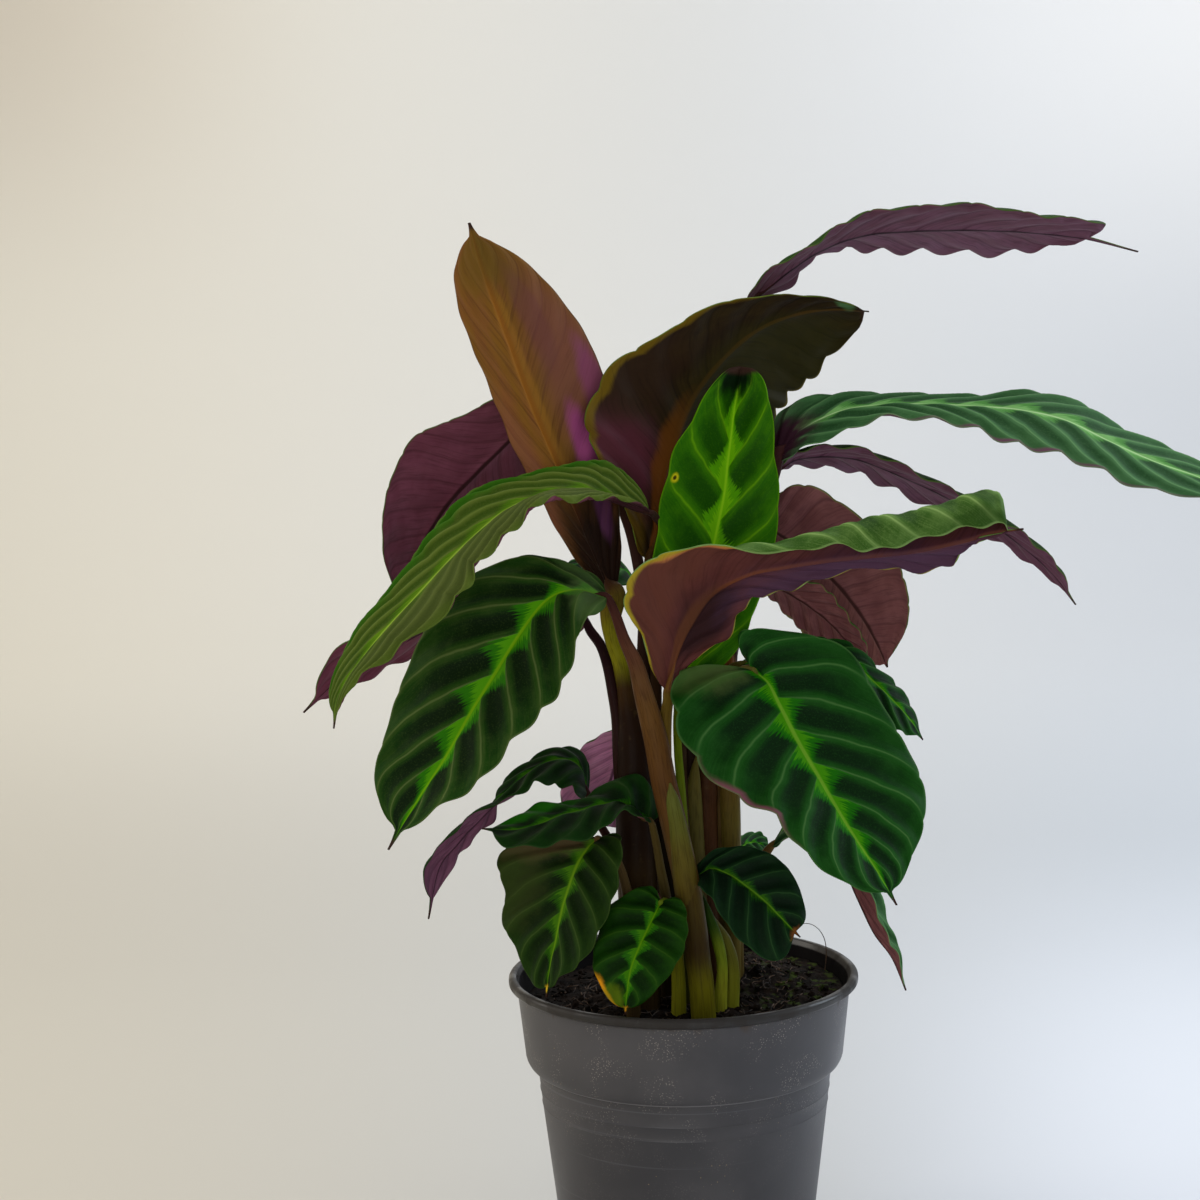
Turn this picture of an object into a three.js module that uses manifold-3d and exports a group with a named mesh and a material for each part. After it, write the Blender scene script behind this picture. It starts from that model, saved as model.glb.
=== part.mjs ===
// A calathea in its nursery pot: waved leaf blades on curved stalks, rooted in a pot full of soil.
// Units are millimetres, +Z is up. The origin is the middle of the pot's foot, where it stands.
import * as THREE from 'three';
import { mergeVertices } from 'three/addons/utils/BufferGeometryUtils.js';
import Module from 'manifold-3d';

const wasm = await Module();
wasm.setup();

// ---- driving dimensions (mm) --------------------------------------------------------------------

const POT = {
  height: 150,
  rimRadius: 85,        // outside of the rolled lip
  lipHeight: 6,
  lipRound: 2,          // rounding of the lip's upper edges
  collarTopRadius: 80.6,
  collarFootRadius: 77.6,
  collarFoot: 113,      // height where the collar starts to turn in
  shoulderRadius: 71.8,
  shoulder: 105,        // height where the turn ends on the body
  footRadius: 59.5,
  wall: 1.8,
  floor: 2.4,
  footRing: 3,          // the floor's channel stands this far off the ground
  footRingWidth: 4.5,
  padRadius: 32,        // flat middle of the floor, which also touches the ground
  drainCircle: 44,
  drainRadius: 5,
  drainSides: 8,
  drainHoles: 8,
  sides: 36,
};

const SOIL = {
  top: 137,
  relief: 1.6,          // height of its wider clods
  clods: [57, 23],      // length of the wide and of the narrow ones
  gap: 0.4,             // clearance to the pot and to the stems
  sides: 36,
  rings: 4,
};

const BLADE = {
  thickness: 0.8,
  ribThickness: 1.5,    // at the leaf's base, thinning to the tip
  baseHalf: 1.5,        // half width where the blade meets its stalk
  tipHalf: 0.5,
  stalkGap: 0.6,       // between a stalk and its blade, which is a body of its own
  veinSlant: 0.12,      // how far a side vein runs forward, as a share of the leaf's length
  scallop: 0.025,       // how far the waves nip the outline in and out
  tipStart: 0.95,       // where along the leaf its narrow drip tip begins
};

const STALK = {
  sides: 8,
  ringsPerSpan: 2,      // from one point of its path to the next
};

// ---- the leaves ---------------------------------------------------------------------------------
// rib: the midrib from base to tip. left, right: from the rib to that edge, near the base, in the
// middle and near the tip, as if the blade had its full width there. Left is seen from the green face
// with the base nearest. curl: how far each half bends over, in degrees. shape: how blunt the base
// and the tip are. waves: how many, and how high.

const LEAVES = {
  leaf_upright_left: {
    rib: [[-31, -4, 337], [-41, -6, 363], [-54, -9, 397], [-67, -13, 430], [-78, -18, 463], [-88, -21, 492],
      [-93, -22, 511]],
    left: [[17, 13, 12], [33, 17, 2], [50, 19, -5]],
    right: [[-10, 13, -6], [-14, 21, -11], [-23, 25, -8]],
    curl: [-10, -10], shape: [0.6, 0.62], waves: [9, 1], colour: 0x6b3a2c,
  },
  leaf_top_centre: {
    rib: [[-13, 8, 351], [-7, 14, 384], [8, 24, 419], [31, 36, 442], [62, 50, 456], [87, 60, 463],
      [100, 66, 470]],
    left: [[26, 28, 0], [16, 30, -23], [2, 20, -22]],
    right: [[-37, -5, 16], [-48, -20, 11], [-54, -27, 13]],
    curl: [15, 20], shape: [0.6, 0.6], waves: [9, 2.2], colour: 0x4a2a28,
  },
  leaf_bright_centre: {
    rib: [[1, 0, 289], [6, 2, 317], [12, 6, 351], [20, 11, 379], [26, 15, 407], [35, 20, 439]],
    left: [[-22, -13, 20], [-24, -17, 4], [-31, -18, 8]],
    right: [[32, -7, 9], [33, -11, 12], [33, -12, 18]],
    curl: [15, 15], shape: [0.6, 0.7], waves: [8, 1.2], colour: 0x2f8a1e,
  },
  leaf_front_rolled: {
    rib: [[-6, -24, 292], [-3, -31, 313], [8, -38, 334], [32, -46, 347], [69, -54, 356], [109, -61, 364],
      [138, -66, 369], [153, -68, 371]],
    left: [[27, 17, 5], [5, 28, -16], [3, 26, -10]],
    right: [[-33, -20, 27], [-8, -18, 7], [-26, -36, -6]],
    curl: [10, [30, 185, 190]], shape: [0.55, 0.6], waves: [10, 1.8], colour: 0x6e3b3c,
  },
  leaf_arched_left: {
    rib: [[-14, -14, 377], [-30, -34, 393], [-54, -44, 391], [-77, -51, 380], [-101, -58, 358],
      [-128, -66, 331], [-148, -72, 307], [-159, -76, 289]],
    left: [[-4, -31, -8], [13, -32, 0], [24, -36, 8]],
    right: [[5, 23, 10], [-21, 39, 7], [-2, 48, 29]],
    curl: [30, 30], shape: [0.55, 0.6], waves: [10, 1.8], colour: 0x2f6b2a,
  },
  leaf_front_left: {
    rib: [[-34, -24, 337], [-49, -33, 343], [-67, -42, 338], [-87, -53, 313], [-105, -63, 283],
      [-123, -70, 252], [-136, -74, 230]],
    left: [[8, -28, -19], [19, -29, -13], [28, -32, 8]],
    right: [[-20, 16, 15], [-25, 19, 22], [-31, 16, 16]],
    curl: [25, 25], shape: [0.55, 0.6], waves: [8, 2], colour: 0x1d4a24,
  },
  leaf_back_left: {
    rib: [[-54, 36, 431], [-78, 38, 410], [-97, 40, 392], [-112, 43, 376], [-125, 44, 356], [-133, 42, 339],
      [-137, 40, 327]],
    left: [[-14, -18, 23], [-16, -25, 31], [-15, -27, 31]],
    right: [[34, 28, -20], [25, 23, -20], [22, 26, -16]],
    curl: [10, 10], shape: [0.6, 0.6], waves: [9, 1], colour: 0x4a2230,
  },
  leaf_purple_left: {
    rib: [[-45, 6, 324], [-62, 14, 336], [-84, 18, 339], [-107, 18, 332], [-134, 14, 314], [-158, 8, 296],
      [-180, 2, 281]],
    left: [[-5, -31, 24], [-5, -30, 18], [-8, -30, 20]],
    right: [[11, 36, -37], [-4, 30, -33], [6, 38, -14]],
    curl: [10, 10], shape: [0.6, 0.65], waves: [8, 1.5], colour: 0x542a3a,
  },
  leaf_top_right: {
    rib: [[36, 60, 472], [46, 60, 483], [65, 62, 496], [95, 64, 503], [134, 66, 506], [174, 64, 504],
      [208, 62, 499], [230, 60, 495]],
    left: [[8, 34, -6], [0, 38, -11], [4, 32, -5]],
    right: [[-12, -32, 3], [0, -38, 11], [4, -34, 9]],
    curl: [10, 10], shape: [0.6, 0.6], waves: [10, 1.8], colour: 0x4f2c38,
  },
  leaf_arched_right: {
    rib: [[49, 18, 396], [57, 14, 407], [72, 8, 418], [107, 0, 424], [144, -4, 421], [191, -10, 408],
      [237, -16, 389], [274, -22, 363]],
    left: [[-4, 34, 2], [2, 34, 1], [8, 30, 13]],
    right: [[4, -26, -7], [0, -32, -9], [-4, -32, -13]],
    curl: [10, 20], shape: [0.6, 0.6], waves: [10, 1.8], colour: 0x2d7a38,
  },
  leaf_drooping_right: {
    rib: [[50, 40, 390], [62, 40, 397], [87, 38, 397], [111, 35, 388], [139, 31, 374], [163, 26, 358],
      [182, 21, 341], [194, 18, 324]],
    left: [[-2, 28, -10], [-4, 28, -8], [-6, 24, -4]],
    right: [[0, -28, 7], [4, -28, 2], [6, -24, 2]],
    curl: [10, 10], shape: [0.6, 0.6], waves: [10, 1.8], colour: 0x43232f,
  },
  leaf_back_right: {
    rib: [[45, 46, 364], [62, 48, 351], [80, 48, 334], [93, 46, 317], [101, 44, 302], [105, 42, 291]],
    left: [[-25, 24, -17], [-23, 23, -17], [-11, 25, -14]],
    right: [[2, -18, 41], [16, -19, 28], [18, -19, 23]],
    curl: [10, 10], shape: [0.6, 0.55], waves: [7, 1.2], colour: 0x5b2e3a,
  },
  leaf_narrow_back_right: {
    rib: [[46, 30, 337], [61, 32, 328], [75, 33, 317], [86, 33, 305], [95, 32, 297]],
    left: [[-7, 12, -8], [-8, 11, -9], [-6, 14, -10]],
    right: [[9, -9, 7], [6, -9, 7], [8, -13, 5]],
    curl: [10, 10], shape: [0.55, 0.8], waves: [6, 1], colour: 0x5b2e3a,
  },
  leaf_front_right: {
    rib: [[35, -14, 299], [43, -22, 294], [54, -32, 283], [62, -44, 262], [71, -54, 242], [84, -62, 220],
      [97, -68, 199]],
    left: [[38, 14, 20], [45, 20, 2], [47, 19, -9]],
    right: [[-56, -28, -5], [-39, -32, -8], [-27, -36, -16]],
    curl: [25, 25], shape: [0.5, 0.6], waves: [8, 1.8], colour: 0x17442a,
  },
  leaf_middle_right: {
    rib: [[29, 10, 299], [55, 12, 306], [79, 10, 303], [97, 6, 288], [110, 0, 274], [117, -4, 263]],
    left: [[6, 9, 9], [4, 12, 10], [5, 23, 10]],
    right: [[-7, -14, -20], [-7, -15, -13], [-10, -19, -9]],
    curl: [20, 20], shape: [0.55, 0.8], waves: [7, 1.2], colour: 0x1f5a2c,
  },
  leaf_small_right: {
    rib: [[9, -28, 203], [17, -36, 209], [24, -43, 206], [31, -50, 201], [43, -56, 191], [52, -58, 181]],
    left: [[16, 2, 12], [20, 9, 2], [17, 8, -5]],
    right: [[-1, -12, -18], [-2, -11, -21], [-2, -10, -23]],
    curl: [20, 20], shape: [0.5, 0.5], waves: [6, 0.8], colour: 0x1a4d24,
  },
  leaf_small_centre: {
    rib: [[-12, -46, 197], [-16, -51, 191], [-20, -56, 183], [-24, -61, 172], [-27, -65, 160],
      [-29, -67, 148]],
    left: [[18, -4, 2], [18, -5, 0], [13, -6, -4]],
    right: [[-12, 13, 10], [-19, 7, 1], [-15, 4, 0]],
    curl: [20, 20], shape: [0.5, 0.55], waves: [6, 0.8], colour: 0x25601f,
  },
  leaf_small_left: {
    rib: [[-32, -34, 222], [-40, -36, 221], [-49, -40, 212], [-57, -44, 195], [-62, -46, 176],
      [-64, -46, 162], [-66, -44, 152]],
    left: [[12, -15, -7], [20, -14, -2], [22, -16, 8]],
    right: [[-40, 14, 1], [-28, 12, 4], [-21, 10, -1]],
    curl: [20, 20], shape: [0.45, 0.6], waves: [7, 1], colour: 0x2a5a28,
  },
  leaf_middle_left: {
    rib: [[-15, -30, 230], [-23, -34, 238], [-33, -38, 242], [-43, -41, 243], [-58, -44, 240],
      [-74, -46, 233], [-92, -46, 233]],
    left: [[-6, -27, 0], [-1, -23, -13], [-9, -22, -12]],
    right: [[6, 13, 14], [-2, 17, 0], [0, 24, 7]],
    curl: [20, 20], shape: [0.5, 0.6], waves: [6, 1], colour: 0x1f4a1f,
  },
  leaf_thin_left: {
    rib: [[-45, 6, 236], [-49, 2, 251], [-60, -4, 258], [-74, -10, 251], [-91, -16, 237], [-107, -20, 217],
      [-116, -22, 200], [-121, -22, 185]],
    left: [[8, -18, -8], [4, 6, -12], [6, 12, -8]],
    right: [[-2, 18, 5], [-3, -10, 6], [-6, -14, 3]],
    curl: [20, 20], shape: [0.55, 0.8], waves: [7, 1], colour: 0x3e2f33,
  },
  leaf_low_back_left: {
    rib: [[-20, 26, 267], [-28, 31, 255], [-33, 34, 242], [-37, 34, 230], [-43, 32, 216]],
    left: [[-21, -7, 1], [-25, -9, -3], [-30, -13, -7]],
    right: [[14, 14, -15], [14, 12, -20], [16, 12, -26]],
    curl: [10, 10], shape: [0.55, 0.8], waves: [6, 0.8], colour: 0x6d4058,
  },
  leaf_tiny_back: {
    rib: [[25, 27, 192], [29, 34, 201], [34, 40, 204], [40, 44, 203], [46, 46, 198]],
    left: [[-4, 14, 2], [4, 14, 2], [6, 10, 2]],
    right: [[4, -12, -4], [2, -12, -6], [0, -10, -4]],
    curl: [15, 15], shape: [0.55, 0.8], waves: [5, 0.6], colour: 0x1b4130,
  },
  leaf_hanging_right: {
    rib: [[44, 2, 211], [52, 0, 222], [65, -4, 223], [76, -10, 210], [84, -16, 191], [91, -20, 173],
      [99, -22, 161], [106, -24, 145]],
    left: [[6, 18, 3], [8, 18, 3], [6, 14, 2]],
    right: [[2, -16, -2], [6, -17, 0], [6, -14, 1]],
    curl: [10, 10], shape: [0.55, 0.8], waves: [7, 0.9], colour: 0x4a3438,
  },
  leaf_small_back: {
    rib: [[-17, 34, 332], [-24, 38, 342], [-36, 41, 346], [-46, 42, 346], [-56, 41, 344]],
    left: [[4, -14, -6], [0, -15, -6], [-2, -12, -5]],
    right: [[-4, 16, 4], [0, 17, 4], [-2, 14, 2]],
    curl: [15, 15], shape: [0.55, 0.8], waves: [5, 0.8], colour: 0x1d4d36,
  },
};

// ---- the shoots ---------------------------------------------------------------------------------
// Each shoot is one body: arms that run from a leaf's base, or a sheath's point, down into the bundle.
// A point is [x, y, z, radius]. Where leaf is named, the arm starts just short of that leaf's blade.
// The stems that stand in the soil end at height 104, well below its surface.

const SHOOTS = {
  shoot_front: {
    colour: 0x6a4a24,
    arms: [
      { leaf: 'leaf_front_left',
        points: [[-34, -24, 337, 2], [-28, -25, 324, 4], [-19, -29, 298, 5], [-12, -34, 266, 5.8],
          [-5, -36, 229, 6.2], [1, -38, 195, 6.1], [6, -38, 156, 6.6], [10, -38, 104, 6]] },
      { points: [[-5, -41, 251, 0.8], [-4, -40, 238, 4.2], [-2, -39, 214, 6], [2, -39, 190, 6.3],
          [6, -39, 161, 6.7]] },
      { leaf: 'leaf_front_rolled',
        points: [[-6, -24, 292, 2], [-9, -26, 279, 3], [-9, -30, 261, 3.6], [-6, -34, 236, 4]] },
    ],
  },
  shoot_left: {
    colour: 0x2e1d16,
    arms: [
      { leaf: 'leaf_upright_left',
        points: [[-31, -4, 337, 2.2], [-28, -5, 322, 3.8], [-25, -7, 290, 4.2], [-22, -9, 269, 6],
          [-21, -10, 250, 9], [-21, -11, 213, 9.4], [-20, -11, 160, 9.4], [-19, -11, 104, 9]] },
      { leaf: 'leaf_purple_left',
        points: [[-45, 6, 324, 1.6], [-40, 3, 315, 2.4], [-35, -2, 299, 2.6], [-32, -6, 281, 2.7],
          [-29, -8, 252, 3.4], [-27, -9, 218, 4]] },
      { leaf: 'leaf_back_left',
        points: [[-54, 36, 431, 1.6], [-39, 33, 409, 2.2], [-27, 26, 379, 2.6], [-20, 19, 357, 2.8],
          [-16, 10, 326, 3], [-18, -2, 285, 3.6], [-19, -6, 246, 5]] },
      { leaf: 'leaf_top_centre',
        points: [[-13, 8, 351, 2.4], [-12, 10, 331, 3.4], [-12, 6, 298, 4], [-14, -4, 260, 5],
          [-17, -8, 227, 6]] },
      { leaf: 'leaf_thin_left',
        points: [[-45, 6, 236, 1.5], [-40, 2, 224, 2], [-33, -4, 212, 2.4], [-26, -9, 188, 4]] },
      { leaf: 'leaf_low_back_left',
        points: [[-20, 26, 267, 1.6], [-19, 21, 273, 2.2], [-18, 8, 268, 2.8], [-19, -4, 251, 4]] },
      { leaf: 'leaf_small_back',
        points: [[-17, 34, 332, 1.4], [-14, 31, 325, 2], [-12, 20, 308, 2.4], [-12, 7, 283, 3]] },
    ],
  },
  shoot_centre: {
    colour: 0x6e7a1e,
    arms: [
      { leaf: 'leaf_bright_centre',
        points: [[1, 0, 289, 1.5], [0, -2, 274, 1.9], [0, -4, 255, 2.1], [0, -7, 226, 2.8], [1, -9, 188, 4],
          [1, -9, 150, 4.6], [1, -9, 104, 4.6]] },
      { leaf: 'leaf_arched_left',
        points: [[-14, -14, 377, 1.4], [-10, -4, 373, 1.9], [-5, 5, 363, 2.2], [-3, 9, 331, 2.4],
          [0, 8, 282, 2.6], [1, -2, 240, 2.8], [1, -7, 207, 3.4]] },
    ],
  },
  shoot_right: {
    colour: 0x4c4420,
    arms: [
      { points: [[25, 26, 304, 4], [23, 20, 270, 6.5], [21, 16, 236, 8.3], [21, 15, 196, 8.8],
          [22, 16, 156, 8.4], [23, 17, 104, 8]] },
      { points: [[5, 6, 239, 0.7], [8, 8, 226, 4.6], [11, 10, 198, 6.5], [15, 13, 157, 6.5],
          [16, 14, 104, 6]] },
      { leaf: 'leaf_top_right',
        points: [[36, 60, 472, 1.6], [26, 66, 451, 2.4], [21, 66, 418, 2.8], [20, 58, 374, 3.2],
          [20, 42, 326, 3.6], [23, 28, 284, 5]] },
      { leaf: 'leaf_arched_right',
        points: [[49, 18, 396, 1.8], [44, 22, 382, 2.6], [38, 27, 357, 3], [29, 28, 328, 3.4],
          [25, 26, 296, 4.5]] },
      { leaf: 'leaf_drooping_right',
        points: [[50, 40, 390, 1.6], [46, 39, 375, 2.2], [38, 37, 351, 2.6], [29, 33, 322, 3],
          [24, 26, 289, 4.5]] },
      { leaf: 'leaf_back_right',
        points: [[45, 46, 364, 1.6], [38, 46, 351, 2.2], [31, 40, 326, 2.6], [25, 28, 293, 4]] },
      { leaf: 'leaf_narrow_back_right',
        points: [[46, 30, 337, 1.4], [40, 31, 336, 1.8], [33, 32, 324, 2.2], [26, 27, 299, 3.5]] },
      { leaf: 'leaf_middle_right',
        points: [[29, 10, 299, 1.6], [25, 13, 295, 2.2], [23, 16, 281, 3.2], [22, 17, 261, 5]] },
      { leaf: 'leaf_front_right',
        points: [[35, -14, 299, 2], [30, -7, 298, 2.8], [25, 2, 288, 3.6], [23, 11, 267, 4.5],
          [21, 14, 236, 6]] },
      { leaf: 'leaf_tiny_back',
        points: [[25, 27, 192, 1.4], [24, 22, 184, 2], [23, 16, 173, 3]] },
      { leaf: 'leaf_hanging_right',
        points: [[44, 2, 211, 1.8], [40, 4, 205, 2.4], [34, 8, 193, 3], [27, 13, 166, 4.5]] },
    ],
  },
  shoot_low_right: {
    colour: 0x7c8420,
    arms: [
      { leaf: 'leaf_small_right',
        points: [[9, -28, 203, 1.5], [8, -25, 191, 2.2], [11, -22, 173, 3.2], [14, -21, 150, 4.4],
          [15, -21, 104, 4.2]] },
    ],
  },
  shoot_low_centre: {
    colour: 0x7c8420,
    arms: [
      { leaf: 'leaf_small_centre',
        points: [[-12, -46, 197, 1.4], [-9, -38, 193, 2], [-7, -29, 178, 3], [-6, -26, 150, 4],
          [-7, -26, 104, 4]] },
      { leaf: 'leaf_middle_left',
        points: [[-15, -30, 230, 1.5], [-13, -27, 220, 1.9], [-9, -25, 201, 2.2], [-7, -26, 172, 3]] },
    ],
  },
  shoot_low_left: {
    colour: 0x6a6a26,
    arms: [
      { leaf: 'leaf_small_left',
        points: [[-32, -34, 222, 1.4], [-30, -32, 212, 1.9], [-27, -31, 186, 2.6], [-25, -31, 150, 3.4],
          [-25, -31, 104, 3.4]] },
    ],
  },
};

// ---- helpers ------------------------------------------------------------------------------------

const vec = ([x, y, z]) => new THREE.Vector3(x, y, z);

function curveThrough(points) {
  return new THREE.CatmullRomCurve3(points.map(vec), false, 'catmullrom', 0.5);
}

// The first of three values near a leaf's base, the second in its middle and the third near its tip.
function blendAlong(three, t, mix) {
  const upper = t >= 0.5;
  const k = THREE.MathUtils.smoothstep(t, upper ? 0.5 : 0.2, upper ? 0.8 : 0.5);
  return upper ? mix(three[1], three[2], k) : mix(three[0], three[1], k);
}

function toSolid(geometry) {
  const bare = geometry.clone();
  bare.deleteAttribute('normal');
  bare.deleteAttribute('uv');
  const merged = mergeVertices(bare, 1e-4);
  return new wasm.Manifold(new wasm.Mesh({
    numProp: 3,
    vertProperties: merged.attributes.position.array,
    triVerts: merged.index.array,
  }));
}

// The main body of a solid, without loose scraps and without hollows that are closed all round.
function mainBody(solid) {
  return solid.decompose().sort((a, b) => b.volume() - a.volume())[0];
}

function toGeometry(solid) {
  const mesh = solid.getMesh();
  const geometry = new THREE.BufferGeometry();
  geometry.setAttribute('position', new THREE.BufferAttribute(mesh.vertProperties, 3));
  geometry.setIndex(new THREE.BufferAttribute(mesh.triVerts, 1));
  geometry.computeVertexNormals();
  return geometry;
}

function namedMesh(name, geometry, material) {
  const mesh = new THREE.Mesh(geometry, new THREE.MeshStandardMaterial(material));
  mesh.name = name;
  return mesh;
}

// ---- leaf blade ---------------------------------------------------------------------------------

// Half width along the leaf, from 0 at the base over 1 at its widest to 0 where the drip tip begins.
function widthAt(t, [base, tip]) {
  const x = t / BLADE.tipStart;
  if (x <= 0 || x >= 1) {
    return 0;
  }
  const widest = base / (base + tip);
  return (x ** base * (1 - x) ** tip) / (widest ** base * (1 - widest) ** tip);
}

// A point of the blade's middle surface. t runs from base to tip, s from -1 at the left edge to 1.
function bladePoint(leaf, rib, t, s) {
  const origin = rib.getPoint(t);
  const ahead = rib.getPoint(Math.min(t + 0.01, 1)).sub(rib.getPoint(Math.max(t - 0.01, 0))).normalize();
  const onLeft = s < 0;
  const across = Math.abs(s);
  const reach = blendAlong((onLeft ? leaf.left : leaf.right).map(vec), t, (a, b, k) => a.clone().lerp(b, k));
  const outward = reach.clone().normalize();
  const up = new THREE.Vector3().crossVectors(onLeft ? ahead : reach, onLeft ? reach : ahead).normalize();

  const [count, height] = leaf.waves;
  const width = widthAt(t, leaf.shape);
  const nip = 1 + BLADE.scallop * Math.cos(2 * Math.PI * count * (t - BLADE.veinSlant) + 1.5);
  const half = reach.length() * width * nip + THREE.MathUtils.lerp(BLADE.baseHalf, BLADE.tipHalf, t);

  // the half's cross-section is an arc that turns by the curl angle
  const curl = leaf.curl[onLeft ? 0 : 1];
  const degrees = Array.isArray(curl) ? blendAlong(curl, t, THREE.MathUtils.lerp) : curl;
  const turn = THREE.MathUtils.degToRad(degrees);
  const radius = half / (2 * Math.sin(turn / 2));
  const along = radius * (Math.sin(turn / 2) + Math.sin(turn * (across - 0.5)));
  const rise = radius * (Math.cos(turn * (across - 0.5)) - Math.cos(turn / 2));

  const phase = 2 * Math.PI * count * (t - BLADE.veinSlant * across);
  const wave = height * Math.min(1, 1.3 * width) * across ** 1.6 * Math.cos(phase);
  return origin.addScaledVector(outward, along).addScaledVector(up, rise + wave);
}

// The blade: one grid for the green face, the same grid for the underside, and a rim between them.
// The wide leaves have more than seven waves, and a finer grid across.
function bladeGeometry(leaf) {
  const rib = curveThrough(leaf.rib);
  const stations = leaf.waves[0] > 7 ? [0.4, 0.75, 1] : [0.5, 1];
  const columns = [...stations.map((s) => -s).reverse(), 0, ...stations];
  const rows = 2 * leaf.waves[0];
  const plane = new THREE.PlaneGeometry(1, 1, columns.length - 1, rows);
  const perFace = columns.length * (rows + 1);
  const position = new Float32Array(2 * perFace * 3);
  const step = 0.01;

  for (let row = 0; row <= rows; row += 1) {
    const t = row / rows;
    columns.forEach((s, column) => {
      const point = bladePoint(leaf, rib, t, s);
      const east = bladePoint(leaf, rib, t, s + step);
      const west = bladePoint(leaf, rib, t, s - step);
      const north = bladePoint(leaf, rib, Math.min(t + step, 1), s);
      const south = bladePoint(leaf, rib, Math.max(t - step, 0), s);
      const normal = new THREE.Vector3().crossVectors(east.sub(west), north.sub(south)).normalize();
      const ribDepth = THREE.MathUtils.lerp(BLADE.ribThickness, BLADE.thickness, t);
      const depth = s === 0 ? ribDepth - BLADE.thickness / 2 : BLADE.thickness / 2;
      const vertex = row * columns.length + column;
      point.clone().addScaledVector(normal, BLADE.thickness / 2).toArray(position, 3 * vertex);
      point.clone().addScaledVector(normal, -depth).toArray(position, 3 * (vertex + perFace));
    });
  }

  const index = [];
  const face = plane.index.array;
  for (let k = 0; k < face.length; k += 3) {
    const [a, b, c] = face.slice(k, k + 3);
    index.push(a, c, b, a + perFace, b + perFace, c + perFace);
  }
  rimLoop(columns.length, rows + 1).forEach((vertex, k, loop) => {
    const next = loop[(k + 1) % loop.length];
    index.push(next, vertex, vertex + perFace, next, vertex + perFace, next + perFace);
  });

  const geometry = new THREE.BufferGeometry();
  geometry.setAttribute('position', new THREE.BufferAttribute(position, 3));
  geometry.setIndex(index);
  geometry.computeVertexNormals();
  return geometry;
}

// The outer vertices of a grid, in order: along the base, up the right edge, back over the tip, down.
function rimLoop(columns, rows) {
  const loop = [];
  for (let c = 0; c < columns - 1; c += 1) {
    loop.push(c);
  }
  for (let r = 0; r < rows - 1; r += 1) {
    loop.push(r * columns + columns - 1);
  }
  for (let c = columns - 1; c > 0; c -= 1) {
    loop.push((rows - 1) * columns + c);
  }
  for (let r = rows - 1; r > 0; r -= 1) {
    loop.push(r * columns);
  }
  return loop;
}

// ---- stalks and stems ---------------------------------------------------------------------------

// A round arm: a cylinder whose rings are set along the curve, with the radius of each point.
function armGeometry(points, clearance = 0) {
  const path = curveThrough(points);
  const radii = new THREE.SplineCurve(points.map((p, k) => new THREE.Vector2(k, p[3])));
  const rings = STALK.ringsPerSpan * (points.length - 1);
  const geometry = new THREE.CylinderGeometry(1, 1, 1, STALK.sides, rings);
  const position = geometry.attributes.position;
  const ring = new THREE.Vector3();
  for (let k = 0; k < position.count; k += 1) {
    ring.fromBufferAttribute(position, k);
    const t = THREE.MathUtils.clamp(0.5 - ring.y, 0, 1);
    const centre = path.getPoint(t);
    const forward = path.getTangent(t);
    const side = new THREE.Vector3(0, 1, 0).cross(forward).normalize();
    const front = new THREE.Vector3().crossVectors(forward, side);
    const radius = radii.getPoint(t).y + clearance;
    centre.addScaledVector(side, ring.x * radius).addScaledVector(front, ring.z * radius);
    position.setXYZ(k, centre.x, centre.y, centre.z);
  }
  return geometry;
}

// A block twice as wide as the stalk, square to the blade, whose back face clears the blade's base.
function trimBlock(leaf, radius) {
  const rib = curveThrough(leaf.rib);
  const base = rib.getPoint(0);
  const ahead = rib.getTangent(0);
  const corners = [-1, 1].map((s) => bladePoint(leaf, rib, 0, s).sub(base).dot(ahead));
  const back = Math.min(0, ...corners) - BLADE.stalkGap;
  const side = 4 * radius;
  const block = new THREE.BoxGeometry(side, side, side).translate(0, 0, back + side / 2);
  block.applyQuaternion(new THREE.Quaternion().setFromUnitVectors(new THREE.Vector3(0, 0, 1), ahead));
  return block.translate(base.x, base.y, base.z);
}

function shootSolid(shoot) {
  const arms = shoot.arms.map((arm) => toSolid(armGeometry(arm.points)));
  let solid = arms.reduce((whole, arm) => whole.add(arm));
  for (const arm of shoot.arms.filter(({ leaf }) => leaf)) {
    solid = solid.subtract(toSolid(trimBlock(LEAVES[arm.leaf], arm.points[0][3])));
  }
  return mainBody(solid);
}

// ---- pot and soil -------------------------------------------------------------------------------

function lathe(profile, sides) {
  const geometry = new THREE.LatheGeometry(profile.map(([r, z]) => new THREE.Vector2(r, z)), sides);
  return geometry.rotateX(Math.PI / 2);
}

// Inside radius of the pot at height z, between the heights where its wall changes slope.
function potInside(z) {
  const levels = [[0, POT.footRadius], [POT.shoulder, POT.shoulderRadius],
    [POT.collarFoot, POT.collarFootRadius],
    [POT.height, POT.collarTopRadius]];
  const above = levels.findIndex(([level], k) => k > 0 && z <= level);
  const [low, high] = [levels[above - 1], levels[above]];
  return THREE.MathUtils.mapLinear(z, low[0], high[0], low[1], high[1]) - POT.wall;
}

// The wall from the body out to the collar's foot: a quarter of an ellipse.
function shoulderPoints() {
  return [0, 30, 60, 90].map((degrees) => {
    const turn = THREE.MathUtils.degToRad(degrees);
    return [
      POT.shoulderRadius + (POT.collarFootRadius - POT.shoulderRadius) * Math.sin(turn),
      POT.collarFoot - (POT.collarFoot - POT.shoulder) * Math.cos(turn),
    ];
  });
}

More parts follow.
